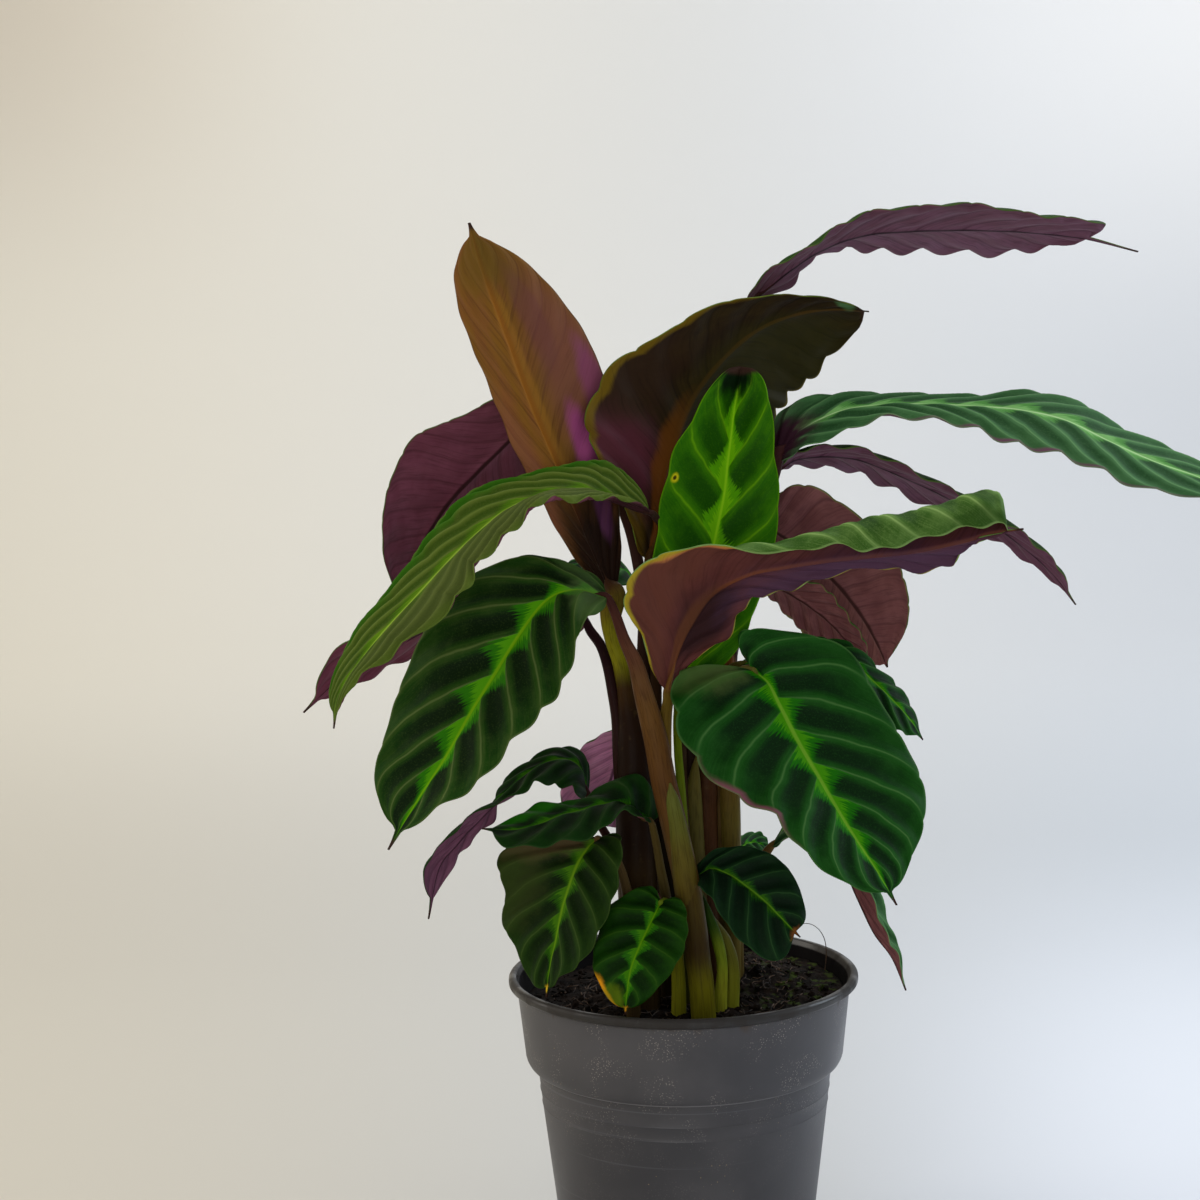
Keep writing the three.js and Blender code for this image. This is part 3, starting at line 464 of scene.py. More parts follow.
def by_station(values, t):
    """Eases between three values, given for 0.2, 0.5 and 0.8 of the length and held on to both ends;
    more values run in a smooth curve, spaced evenly from base to tip."""
    if len(values) > 3:
        return smooth_between(values, t)
    values = (values[0], *values, values[2])
    k = min(sum(t >= station for station in STATIONS[1:]), 3)
    share = eased((t - STATIONS[k]) / (STATIONS[k + 1] - STATIONS[k]))
    return values[k] * (1 - share) + values[k + 1] * share


def width_share(t, shape, tip_start):
    """Half width along the leaf, from 0 at the base over 1 at its widest to 0 where the drip tip begins."""
    x = t / tip_start
    if x <= 0 or x >= 1:
        return 0.0
    base, tip = shape
    widest = base / (base + tip)
    return (x ** base * (1 - x) ** tip) / (widest ** base * (1 - widest) ** tip)


def vein_run(q):
    """How far a side vein has run towards the tip at a share q of the half width, a number or a field."""
    return q * (q * (q * 0.5 - 0.75) + 1.25)


def blade_point(leaf, seed, t, s):
    """A point of the blade's green face in millimetres; s runs from -1 at the left edge to 1."""
    on_left = s < 0
    half_number = 0 if on_left else 1
    q = abs(s)
    base = along(leaf["rib"], t)
    ahead = direction(leaf["rib"], t)
    reach = by_station([Vector(v) for v in leaf["left" if on_left else "right"]], t)
    up = (ahead.cross(reach) if on_left else reach.cross(ahead)).normalized()

    veins, *runs = leaf["veins"]
    width = width_share(t, leaf["shape"], leaf.get("tip", TIP_START))
    start = LEFT_VEIN_START if on_left else 0.0
    phase = veins * (t - runs[half_number] * vein_run(q)) + start
    edge = veins * (t - runs[half_number]) + start
    lobes = leaf.get("lobes", LOBE_DEPTH)
    outline = 1 - lobes + 1.4 * lobes * abs(math.sin(math.pi * edge)) ** 0.7
    outline += MARGIN_NOISE * noise.noise((11 * t, 3 * s, seed))
    body = reach.length * width * outline
    drip = DRIP_WIDTH * leaf.get("drip", 1) * reach.length * eased(4 * t - 2.4)
    drip *= min(1, (1 - t) / DRIP_LENGTH) ** 1.6
    half = (body ** 4 + drip ** 4) ** 0.25 + BASE_HALF * (1 - t) + TIP_HALF * t

    curl = leaf["curl"][half_number]
    turn = math.radians(by_station(curl, t) if isinstance(curl, tuple) else curl)
    radius = half / (2 * math.sin(turn / 2))
    outward = radius * (math.sin(turn / 2) + math.sin(turn * (q - 0.5)))
    rise = radius * (math.cos(turn * (q - 0.5)) - math.cos(turn / 2))

    fullness = min(1.0, 1.3 * width)
    swing = math.cos(2 * math.pi * phase)
    ruffle = leaf["waves"][1] * fullness * q ** 1.6 * swing
    pleat = PLEAT_HEIGHT * fullness * min(1.0, 6 * q) * (1 - q * q) * swing
    crumple = CRUMPLE_HEIGHT * fullness * q * noise.noise((6 * t, 2.5 * s, seed + 40.0))
    channel = -CHANNEL_DEPTH * fullness * math.exp(-(q / RIB_WIDTH) ** 2)
    return base + reach.normalized() * outward + up * (rise + ruffle + pleat + crumple + channel)


def blade_mesh(name, leaf, seed):
    """The blade as a fine grid, with its own coordinates: u from the left edge across, v from base to tip."""
    rows = ROWS_PER_WAVE * leaf["waves"][0]
    grid = bmesh.new()
    bmesh.ops.create_grid(grid, x_segments=COLUMNS, y_segments=rows, size=0.5)
    plan = grid.loops.layers.uv.new("blade")
    weights = grid.verts.layers.deform.verify()
    smoothed(grid.faces)
    for face in grid.faces:
        for corner in face.loops:
            corner[plan].uv = (corner.vert.co.x + 0.5, corner.vert.co.y + 0.5)
    for vertex in grid.verts:
        s, t = 2 * vertex.co.x, vertex.co.y + 0.5
        vertex[weights][0] = math.exp(-(s / RIB_WIDTH) ** 2) * (1 - t)
        vertex.co = blade_point(leaf, seed, t, s) * MM
    return finished(name, grid)


# ---- leaf finishes --------------------------------------------------------------------------------
# Green faces: the velvet between the veins, the mid green near veins and margin, the feathered mark and
# its bright core along the midrib, the midrib, the side veins and the soft halo round each of them; spread
# is the mark's share of the half width.

FACES = {
    "velvet": dict(deep=(12, 30, 8), mid=(26, 66, 8), halo=(66, 88, 36), mark=(44, 122, 2),
        core=(86, 162, 4), rib=(122, 176, 14), vein=(104, 122, 66), spread=0.25),
    "forest": dict(deep=(10, 36, 12), mid=(18, 72, 12), halo=(40, 92, 34), mark=(28, 112, 4),
        core=(70, 150, 4), rib=(112, 168, 40), vein=(84, 128, 66), spread=0.2),
    "holly": dict(deep=(8, 26, 12), mid=(12, 40, 16), halo=(24, 52, 24), mark=(22, 66, 12),
        core=(50, 100, 8), rib=(84, 130, 24), vein=(48, 84, 42), spread=0.16),
    "lively": dict(deep=(8, 34, 2), mid=(18, 58, 2), halo=(32, 70, 8), mark=(36, 100, 4), core=(66, 130, 4),
        rib=(94, 146, 8), vein=(50, 86, 18), spread=0.28),
    "mossy": dict(deep=(12, 30, 4), mid=(26, 52, 8), halo=(42, 66, 18), mark=(40, 86, 4), core=(70, 122, 6),
        rib=(104, 146, 20), vein=(66, 88, 36), spread=0.22),
    "shade": dict(deep=(10, 30, 8), mid=(16, 56, 8), halo=(34, 60, 24), mark=(26, 80, 4), core=(50, 108, 6),
        rib=(72, 120, 20), vein=(48, 74, 34), spread=0.14),
    # the next palette is the leaf's own vivid green, lightened further as painted light shining through the
    # blade from behind
    "bright": dict(deep=(24, 74, 0), mid=(44, 108, 0), halo=(74, 134, 2), mark=(90, 168, 4),
        core=(120, 192, 10), rib=(144, 206, 20), vein=(116, 178, 10), spread=0.3),
    "pale": dict(deep=(56, 80, 14), mid=(84, 104, 30), halo=(98, 112, 48), mark=(80, 122, 14),
        core=(104, 144, 24), rib=(150, 180, 60), vein=(100, 122, 48), spread=0.12),
    "silver": dict(deep=(34, 64, 16), mid=(62, 100, 34), halo=(122, 156, 82), mark=(84, 126, 46),
        core=(110, 150, 60), rib=(130, 170, 90), vein=(158, 190, 112), spread=0.12),
    "fresh": dict(deep=(34, 72, 36), mid=(60, 104, 60), halo=(82, 128, 78), mark=(84, 146, 66),
        core=(126, 182, 104), rib=(176, 214, 150), vein=(112, 156, 100), spread=0.24),
    "olive": dict(deep=(54, 70, 16), mid=(84, 104, 24), halo=(90, 108, 34), mark=(96, 128, 26),
        core=(120, 150, 34), rib=(140, 160, 50), vein=(110, 128, 54), spread=0.2),
}

# Undersides: the skin, its second tone in soft clouds, the midrib, the veins and the line of the margin.
UNDERS = {
    "plum": dict(skin=(112, 58, 74), second=(128, 70, 88), rib=(58, 28, 32), vein=(80, 42, 50),
        hem=(96, 70, 60)),
    "violet": dict(skin=(104, 66, 82), second=(116, 78, 98), rib=(46, 28, 38), vein=(66, 40, 52),
        hem=(120, 84, 90)),
    "mauve": dict(skin=(124, 76, 76), second=(140, 90, 88), rib=(72, 42, 40), vein=(92, 56, 58),
        hem=(130, 136, 70)),
    "lilac": dict(skin=(112, 70, 92), second=(130, 86, 108), rib=(70, 46, 58), vein=(82, 52, 68),
        hem=(110, 90, 90)),
    # this palette is lighter than the leaf's own colour: painted light shining through the thin blade from
    # behind
    "orchid": dict(skin=(220, 148, 188), second=(232, 166, 200), rib=(130, 84, 110), vein=(140, 90, 118),
        hem=(130, 110, 110)),
    "rose": dict(skin=(88, 46, 42), second=(102, 56, 52), rib=(118, 66, 40), vein=(70, 36, 32),
        hem=(176, 166, 50)),
    "amber": dict(skin=(124, 86, 28), second=(126, 80, 42), rib=(120, 64, 20), vein=(84, 52, 26),
        hem=(90, 66, 30)),
    "brown": dict(skin=(42, 29, 16), second=(54, 42, 18), rib=(80, 54, 18), vein=(28, 19, 11),
        hem=(110, 96, 24)),
}

# Patches of another colour: u across from the left edge, v from base to tip, how far each way, colour,
# strength. From behind, the left edge is on the right.
UNDER_PATCHES = {
    "upright_left": ((0.16, 0.5, 0.3, 0.45, (124, 76, 66), 0.65),
        (0.27, 0.37, 0.11, 0.15, (166, 74, 134), 0.85), (0.08, 0.5, 0.12, 0.2, (138, 68, 108), 0.7),
        (0.3, 0.72, 0.12, 0.2, (110, 64, 62), 0.5), (0.95, 0.36, 0.3, 0.24, (128, 80, 62), 0.6),
        (0.5, 0.56, 0.07, 0.4, (158, 108, 36), 0.5), (0.55, 0.92, 0.5, 0.2, (104, 80, 26), 0.7),
        # the last patch of upright_left is a painted sheen: a purple glow laid over its dark base
        (0.45, 0.0, 0.9, 0.4, (34, 20, 13), 1.0), (0.22, 0.2, 0.14, 0.1, (100, 54, 92), 0.7)),
    "top_centre": ((0.82, 0.24, 0.34, 0.18, (96, 46, 58), 0.85), (0.86, 0.46, 0.3, 0.16, (50, 32, 20), 0.7),
        (1.0, 0.4, 0.07, 0.5, (116, 92, 14), 0.8), (0.53, 0.2, 0.08, 0.3, (120, 68, 16), 0.7),
        (0.95, 0.1, 0.3, 0.16, (92, 72, 16), 0.8), (0.2, 0.6, 0.5, 0.5, (50, 50, 8), 0.6),
        (0.75, 0.94, 0.3, 0.035, (84, 124, 76), 0.9)),
    "front_rolled": ((0.9, 0.16, 0.34, 0.3, (104, 60, 48), 0.8),
        (0.34, 0.2, 0.34, 0.17, (46, 25, 27), 0.95), (0.97, 0.37, 0.06, 0.14, (200, 128, 74), 0.9),
        (1.0, 0.2, 0.06, 0.34, (176, 156, 40), 0.9), (0.1, 0.65, 0.6, 0.5, (80, 54, 76), 0.9),
        (0.52, 0.1, 0.06, 0.24, (108, 64, 38), 0.6)),
    "arched_right": ((0.6, 0.04, 0.6, 0.14, (70, 36, 48), 0.9),),
    "arched_left": ((0.3, 0.05, 0.5, 0.24, (58, 32, 36), 0.9),),
    "back_right": ((0.1, 0.3, 0.25, 0.5, (84, 92, 44), 0.35),),
}
FACE_PATCHES = {
    "small_centre": ((1.0, 0.84, 0.14, 0.16, (226, 150, 20), 1.0),
        (1.05, 0.88, 0.09, 0.12, (132, 84, 66), 1.0), (0.8, 0.88, 0.3, 0.12, (110, 136, 10), 0.5),
        (0.5, 0.98, 0.4, 0.05, (220, 150, 30), 0.9)),
    "small_left": ((0.85, 0.12, 0.4, 0.2, (84, 72, 46), 0.9), (0.9, 0.4, 0.3, 0.3, (56, 66, 26), 0.5),
        (0.5, 0.98, 0.5, 0.05, (230, 190, 40), 1.0)),
    "small_right": ((0.5, 0.97, 0.5, 0.06, (120, 70, 30), 0.9),),
    "bright_centre": ((0.06, 0.635, 0.05, 0.022, (210, 200, 20), 1.0),
        # the last patch here is painted shade: the upper end darkened where the leaf above shades it
        (0.06, 0.635, 0.024, 0.011, (70, 60, 10), 1.0), (0.4, 1.0, 0.6, 0.13, (6, 26, 4), 1.0)),
    "front_right": ((0.85, 0.08, 0.3, 0.14, (96, 116, 60), 0.5),
        (1.04, 0.55, 0.1, 0.24, (128, 76, 88), 1.0)),
    "front_left": ((0.3, 0.06, 0.5, 0.14, (96, 124, 66), 0.5), (0.9, 0.1, 0.3, 0.1, (84, 110, 60), 0.4)),
    "middle_left": ((0.9, 0.75, 0.3, 0.3, (28, 104, 6), 0.8),),
    "arched_right": ((1.02, 0.6, 0.06, 0.5, (120, 70, 100), 0.9), (0.5, 0.0, 0.8, 0.17, (56, 30, 42), 1.0)),
    "arched_left": ((1.0, 0.5, 0.2, 0.6, (40, 100, 2), 0.85), (0.25, 0.5, 0.3, 0.5, (84, 92, 46), 0.6)),
    "front_rolled": ((0.98, 0.95, 0.1, 0.2, (30, 60, 14), 0.5),),
}
TIP_BROWN = (58, 38, 30)
TIP_DRY = (0.965, 0.985)  # over which part of the length the tip turns brown


def vein_fields(finish, leaf):
    """The blade's own coordinates and its side veins: u and v, s from -1 to 1 across and q its size, the
    phase, which grows by 1 from vein to vein, and the distance, which is 0 on a vein and 0.5 midway."""
    u, v, _ = finish.split(finish.coordinates("UV"))
    s = u * 2.0 - 1.0
    q = s.math("ABSOLUTE")
    on_left = s.math("LESS_THAN", 0.0)
    veins, left_run, right_run = leaf["veins"]
    run = on_left * (left_run - right_run) + right_run
    wobble = (finish.grain(finish.combined(s * 2.0, v * 6.0), 1.0, 2.0) - 0.5) * 0.22
    phase = (v - run * vein_run(q)) * veins + on_left * LEFT_VEIN_START + wobble
    distance = (phase + 0.5).math("FRACT") - 0.5
    return u, v, s, q, phase, distance


def patched(finish, ground, patches, u, v, clouds):
    """Lays soft, cloudy patches of other colours over a leaf's colour."""
    for u0, v0, reach_u, reach_v, tone, strength in patches:
        across, on = (u - u0) * (1 / reach_u), (v - v0) * (1 / reach_v)
        away = (across * across + on * on).math("SQRT") + (clouds - 0.5) * 0.7
        ground = finish.blend(away.ramp(0.45, 1.0, strength, 0.0), ground, colour(*tone))
    return ground


def green_face(name, key, leaf):
    look = dict(FACES[leaf["face"]])
    spread = look.pop("spread")
    look = {part: colour(*tone) for part, tone in look.items()}
    finish = Finish(name, Roughness=0.6, Specular_IOR_Level=0.06)
    u, v, s, q, phase, distance = vein_fields(finish, leaf)
    strands = finish.grain(finish.combined(phase * 20.0, q * 2.2), 1.0, 3.0)
    fine = finish.grain(finish.combined(phase * 60.0, q * 4.0), 1.0, 2.0)
    clouds = finish.grain(finish.combined(s * 3.0, v * 9.0), 1.5, 4.0)
    pores = finish.grain(finish.coordinates("Object"), 1300.0, 2.0)
    taper = v.ramp(0.7, 1.0, 1.0, 0.4)

    # mid green with pale streaks along the veins, and a dark patch between each two veins near the midrib
    ground = finish.blend(clouds.ramp(0.4, 0.75, 0.0, 0.4), look["mid"], look["halo"])
    ground = finish.blend(strands.ramp(0.45, 0.75, 0.0, 0.45), ground, look["halo"])
    between = distance.math("ABSOLUTE").ramp(0.08, 0.32)
    inward = (q + (clouds - 0.5) * 0.5).ramp(0.45, 1.0, 1.0, 0.1)
    ground = finish.blend(between * inward * 0.95, ground, look["deep"])
    ground = finish.blend(strands.ramp(0.28, 0.48, 0.4, 0.0), ground, look["deep"])
    ground = finish.blend(pores.ramp(0.5, 0.7, 0.0, 0.22), ground, look["halo"])
    halo = (distance + (strands - 0.5) * 0.07).peak(0.17) * q.ramp(0.08, 0.3, 0.1, 0.55)
    ground = finish.blend(halo, ground, look["halo"])
    # the mark along the midrib, drawn out to a point on each side vein, and its bright core
    wedge = (1.0 - phase.math("FRACT")) ** 1.4
    reach = wedge * spread * taper + 0.035
    ragged = q + (strands - 0.5) * (wedge * 0.42 * taper + 0.03)
    ground = finish.blend((ragged - reach).ramp(-0.02, 0.03, 0.92, 0.0), ground, look["mark"])
    core = (ragged * 1.2 - reach * 0.62).ramp(-0.02, 0.025, 0.9, 0.0)
    ground = finish.blend(core, ground, look["core"])
    # the side veins, strongest half way out, and the midrib
    vein = (distance + (fine - 0.5) * 0.02).peak(0.05) * q.ramp(0.05, 0.3, 0.2, 0.55)
    vein = vein * q.ramp(0.8, 1.0, 1.0, 0.2)
    ground = finish.blend(vein, ground, look["vein"])
    rib = q.ramp(0.008, 0.03, 1.0, 0.0)
    ground = finish.blend(rib, ground, look["rib"])
    ground = patched(finish, ground, FACE_PATCHES.get(key, ()), u, v, clouds)
    ground = finish.blend(q.ramp(0.975, 0.995, 0.0, 0.5), ground, look["vein"])
    finish.colour(finish.blend(v.ramp(*TIP_DRY), ground, colour(*TIP_BROWN)))
    finish.roughness(strands.ramp(0.3, 0.7, 0.5, 0.66))
    finish.relief(vein * 0.5 + fine * 0.25 + rib * -0.5, 0.3, 0.0005)
    return finish.material


def underside(name, key, leaf):
    look = {part: colour(*tone) for part, tone in UNDERS[leaf["under"]].items()}
    finish = Finish(name, Roughness=0.55, Specular_IOR_Level=0.06)
    u, v, s, q, phase, distance = vein_fields(finish, leaf)
    strands = finish.grain(finish.combined(phase * 14.0, q * 2.5), 1.0, 3.0)
    fine = finish.grain(finish.combined(phase * 60.0, q * 4.0), 1.0, 2.0)
    clouds = finish.grain(finish.combined(s * 2.0, v * 5.0), 1.2, 4.0)
    skin = finish.blend(clouds.ramp(0.35, 0.7), look["skin"], look["second"])
    skin = finish.blend(strands.ramp(0.42, 0.75, 0.0, 0.5), skin, look["vein"])
    skin = finish.blend(distance.peak(0.1) * 0.5, skin, look["vein"])
    skin = finish.blend(q.ramp(0.012, 0.04, 1.0, 0.0), skin, look["rib"])
    skin = patched(finish, skin, UNDER_PATCHES.get(key, ()), u, v, clouds * 0.7 + strands * 0.3)
    skin = finish.blend(strands.ramp(0.5, 0.8, 0.0, 0.3), skin, look["vein"])
    skin = finish.blend(q.ramp(0.97, 0.995, 0.0, 0.7), skin, look["hem"])
    finish.colour(finish.blend(v.ramp(*TIP_DRY), skin, colour(*TIP_BROWN)))
    finish.relief(distance.peak(0.09) * -0.5 + fine * 0.3, 0.3, 0.0005)
    return finish.material


def make_leaf(key, leaf, seed):
    name = "blade_" + key
    blade = placed(name, blade_mesh(name, leaf, seed))
    blade.vertex_groups.new(name="ridge")
    blade.data.materials.append(green_face("green_" + key, key, leaf))
    blade.data.materials.append(underside("under_" + key, key, leaf))
    wall = blade.modifiers.new("thickness", "SOLIDIFY")
    wall.thickness = RIB_THICKNESS * MM
    wall.offset = -1
    wall.vertex_group = "ridge"
    wall.thickness_vertex_group = BLADE_THICKNESS / RIB_THICKNESS
    wall.material_offset = 1
    wall.material_offset_rim = 0
    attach(blade, ROOT)
    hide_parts("leaf_" + key)


# ---- the shoots -----------------------------------------------------------------------------------
# Arms run from a leaf's base, or a sheath's point, down into the soil or into the bundle. A point is
# x, y, z and radius in millimetres. tint: colours spaced evenly from the arm's start to its end.

PURPLE_BROWN = ((70, 36, 38), (64, 36, 32), (58, 40, 30))
OLIVE = ((104, 112, 40), (92, 88, 36), (84, 76, 34))

SHOOTS = {
    "shoot_front": (
        dict(leaf="front_left", tint=((60, 32, 30), (66, 34, 32), (72, 38, 34), (84, 48, 38), (96, 60, 42),
             (102, 70, 40), (104, 72, 34), (98, 66, 30), (92, 60, 28), (86, 62, 26), (76, 62, 22),
             (60, 46, 18), (108, 104, 18), (108, 104, 18)),
             points=((-34, -24, 338, 1.8), (-30, -25, 330, 2.3), (-26, -28, 318, 2.8), (-21, -31, 307, 3.7),
             (-18, -33, 295, 4.5), (-15, -35, 283, 5.2), (-12, -36, 270, 5.7), (-9, -37, 252, 6.0),
             (-4, -38, 229, 6.2), (1, -38, 204, 6.2), (4, -38, 185, 6), (6, -38, 166, 6), (8, -38, 146, 6),
             (9, -38, 104, 6))),
        dict(tint=((104, 104, 46), (96, 100, 40), (92, 92, 34), (92, 82, 28), (86, 72, 24), (78, 60, 22)),
             points=((-6, -42, 252, 0.5), (-5, -42, 244, 3.2), (-3, -41.5, 232, 4.4), (-1, -40.5, 217, 5.4),
             (1, -39, 200, 5.8), (3, -37, 178, 4))),
        dict(leaf="front_rolled", tint=((120, 72, 42), (122, 84, 38), (120, 98, 34), (116, 94, 34),
             (104, 80, 32)),
             points=((-6, -24, 293, 1.9), (-6, -26, 288, 2.5), (-7, -29, 282, 2.8), (-8, -32, 271, 3.3),
             (-8, -35, 252, 3.2))),
    ),
    "shoot_left": (
        dict(leaf="upright_left", tint=((40, 24, 16), (70, 44, 26), (118, 100, 32), (140, 136, 26),
             (140, 138, 24), (64, 44, 20), (40, 25, 16), (34, 22, 14), (36, 24, 15), (66, 50, 24),
             (60, 48, 24)),
             points=((-31, -4, 337, 6.2), (-32, -5, 325, 5), (-31, -6, 315, 4.2), (-28, -7, 304, 3.9),
             (-26, -8, 291, 4), (-24, -9, 279, 5.7), (-22, -10, 264, 8.4), (-22, -11, 238, 9.5),
             (-22, -11, 208, 9.6), (-21, -11, 170, 9.5), (-20, -11, 104, 9))),
        dict(leaf="purple_left", tint=((58, 30, 38), (48, 24, 32), (42, 22, 26), (46, 26, 24),
             (40, 24, 18)),
             points=((-45, 6, 324, 1.5), (-42, 3, 318, 2.3), (-37, -1, 311, 2.5), (-34, -5, 302, 2.6),
             (-32, -7, 291, 2.7), (-30, -8, 276, 2.8), (-29, -9, 257, 3.4), (-27, -10, 230, 4))),
        dict(leaf="back_left", tint=PURPLE_BROWN,
             points=((-54, 36, 431, 1.6), (-39, 33, 409, 2.2), (-27, 26, 379, 2.6), (-20, 19, 357, 2.8),
             (-16, 10, 326, 3), (-18, -2, 285, 3.6), (-19, -6, 246, 5))),
        dict(leaf="top_centre", tint=((100, 68, 24), (66, 44, 22), (46, 30, 20)),
             points=((-13, 8, 351, 2.4), (-12, 10, 331, 3.4), (-12, 6, 298, 4), (-14, -4, 260, 5),
             (-17, -8, 227, 6))),
        dict(leaf="thin_left", tint=PURPLE_BROWN,
             points=((-45, 6, 238, 1.5), (-40, 2, 225, 2), (-33, -4, 212, 2.4), (-26, -9, 188, 4))),
        dict(leaf="low_back_left", tint=PURPLE_BROWN,
             points=((-20, 26, 267, 1.6), (-19, 21, 273, 2.2), (-18, 8, 268, 2.8), (-19, -4, 251, 4))),
        dict(leaf="small_back", tint=PURPLE_BROWN,
             points=((-17, 34, 332, 1.4), (-14, 31, 325, 2), (-12, 20, 308, 2.4), (-12, 7, 283, 3))),
    ),
    "shoot_centre": (
        dict(leaf="bright_centre", tint=((110, 144, 20), (120, 146, 20), (112, 136, 20), (96, 112, 24),
             (70, 66, 26)),
             points=((1, 0, 289, 1.5), (-1, -3, 277, 1.9), (-1, -5, 260, 2), (0, -8, 241, 2.3),
             (0, -9, 212, 3.8), (1, -9, 163, 4.5), (1, -9, 104, 4.6))),
        dict(tint=((34, 26, 14), (36, 28, 14), (40, 32, 16)),
             points=((-9, 3, 244, 2.5), (-9, 3, 228, 4.6), (-8, 3, 200, 5.4), (-7, 2, 104, 5.4))),
        dict(leaf="arched_left", tint=((60, 32, 34), (62, 40, 32), (66, 52, 30)),
             points=((-13, -12, 376, 1.4), (-10, -4, 373, 1.9), (-5, 5, 363, 2.2), (-3, 9, 331, 2.4),
             (0, 8, 282, 2.6), (1, -2, 240, 2.8), (1, -7, 207, 3.4))),
    ),
    "shoot_right": (
        dict(tint=((110, 74, 36), (96, 66, 34), (90, 70, 32), (84, 70, 30), (72, 60, 28)),
             points=((25, 26, 304, 4), (23, 20, 270, 6.5), (21, 16, 236, 8.3), (21, 15, 196, 8.8),
             (22, 16, 156, 8.4), (23, 17, 104, 8))),
        dict(tint=((140, 88, 40), (124, 82, 36), (104, 82, 34), (98, 86, 34), (90, 78, 32)),
             points=((24, 20, 306, 3.2), (24, 17, 292, 4), (24, 13, 260, 4.8), (24, 10, 236, 5.2),
             (24, 10, 206, 5.4), (23, 12, 120, 5.4))),
        dict(tint=((100, 54, 36), (88, 48, 32), (74, 46, 26), (76, 48, 26), (60, 40, 22)),
             points=((15, 16, 302, 3.4), (15, 13, 281, 4.2), (14, 9, 252, 4.8), (13, 7, 232, 5),
             (13, 6, 198, 5.3), (14, 9, 120, 5.3))),
        dict(tint=((104, 96, 42), (100, 92, 40), (90, 84, 36), (84, 76, 32), (60, 52, 26)),
             points=((8, 0, 256, 0.5), (7, 0, 247, 2.6), (6, 0, 234, 4.4), (6, 1, 214, 5.2),
             (8, 4, 180, 5.4), (10, 7, 130, 5.4))),
        dict(tint=((36, 24, 16), (44, 28, 18), (50, 32, 20), (46, 32, 20)),
             points=((5, 8, 278, 1.6), (5, 8, 262, 3), (6, 8, 238, 4.6), (6, 9, 200, 5), (9, 11, 130, 5))),
        dict(leaf="top_right", tint=PURPLE_BROWN,
             points=((39, 60, 472, 1.6), (28, 65, 451, 2.4), (21, 66, 418, 2.8), (20, 58, 374, 3.2),
             (20, 42, 326, 3.6), (23, 28, 284, 5))),
        dict(leaf="arched_right", tint=PURPLE_BROWN,
             points=((49, 20, 398, 4.2), (45, 22, 384, 4.4), (38, 27, 359, 3.4), (29, 28, 328, 3.4),
             (25, 26, 296, 4.5))),
        dict(leaf="drooping_right", tint=PURPLE_BROWN,
             points=((50, 40, 390, 1.6), (46, 39, 375, 2.2), (38, 37, 351, 2.6), (29, 33, 322, 3),
             (24, 26, 289, 4.5))),
        dict(leaf="back_right", tint=PURPLE_BROWN,
             points=((45, 46, 364, 1.6), (38, 46, 351, 2.2), (31, 40, 326, 2.6), (25, 28, 293, 4))),
        dict(leaf="narrow_back_right", tint=PURPLE_BROWN,
             points=((46, 30, 337, 1.4), (40, 31, 336, 1.8), (33, 32, 324, 2.2), (26, 27, 299, 3.5))),
        dict(leaf="middle_right", tint=OLIVE,
             points=((29, 10, 299, 1.6), (25, 13, 295, 2.2), (23, 16, 281, 3.2), (22, 17, 261, 5))),
        dict(leaf="front_right", tint=((90, 110, 40), (106, 92, 44), (126, 80, 40)),
             points=((35, -14, 300, 2), (30, -7, 298, 2.8), (25, 2, 288, 3.6), (23, 11, 267, 4.5),
             (21, 14, 236, 6))),
        dict(leaf="tiny_back", tint=OLIVE,
             points=((25, 27, 192, 1.4), (24, 22, 184, 2), (23, 16, 173, 3))),
        dict(leaf="hanging_right", tint=((130, 110, 50), (116, 90, 46), (96, 80, 36)),
             points=((44, 2, 211, 1.8), (40, 4, 205, 2.4), (34, 8, 193, 3), (27, 13, 166, 4.5))),
    ),
    "shoot_low_right": (
        dict(leaf="small_right", tint=((60, 90, 24), (70, 84, 24), (78, 76, 26), (96, 96, 28),
             (150, 156, 40)),
             points=((5, -28, 203, 1.5), (7, -25, 195, 2), (12, -22, 182, 2.6), (20, -19, 168, 3.4),
             (23, -19, 150, 3.6), (20, -20, 104, 3.6))),
        dict(tint=((30, 56, 12), (44, 74, 14), (120, 140, 30), (160, 166, 44), (170, 168, 60)),
             points=((9, -25, 194, 0.5), (12, -26, 184, 2.2), (16, -25, 171, 2.8), (18, -25, 158, 2.6),
             (17, -24, 140, 3.2), (17, -23, 110, 3))),
    ),
    "shoot_low_centre": (
        dict(leaf="small_centre", tint=((96, 140, 24), (100, 120, 24), (120, 124, 26), (146, 144, 28)),
             points=((-11, -46, 196, 1.4), (-8, -38, 193, 2), (-5, -30, 178, 2.8), (-3, -27, 150, 3.4),
             (-4, -26, 104, 4))),
        dict(leaf="middle_left", tint=((88, 66, 32), (84, 70, 32), (72, 64, 28)),
             points=((-15, -30, 231, 1.5), (-13, -28, 222, 1.9), (-11, -26, 209, 2.1), (-8, -26, 188, 2.8),
             (-7, -26, 160, 3))),
    ),
    "shoot_low_left": (
        dict(leaf="small_left", tint=((110, 76, 48), (100, 78, 42), (82, 66, 36), (70, 56, 32)),
             points=((-40, -32, 224, 1.4), (-34, -31, 218, 1.7), (-29, -30, 206, 2.2), (-26, -30, 188, 2.8),
             (-25, -31, 150, 3.4), (-25, -31, 104, 3.4))),
    ),
}

STALK_SIDES = 20
RINGS_PER_SPAN = 8
UNDER_RIB = ((0.09, 0.35), (0.045, 0.9))  # a stalk's points under its leaf: share of the length, radius
UNDER_FACE = 0.9         # how far those points lie below the green face
STALK_UNIT = 50          # length of stalk, in millimetres, for 1 of its own coordinate
GROOVE_DEPTH = 0.1       # of the groove down each stalk, as a share of the radius
GROOVE_ANGLE = 1.3       # where it lies round the stalk, in radians, and how wide it is
GROOVE_WIDTH = 0.35
THINNEST = 0.15          # radius


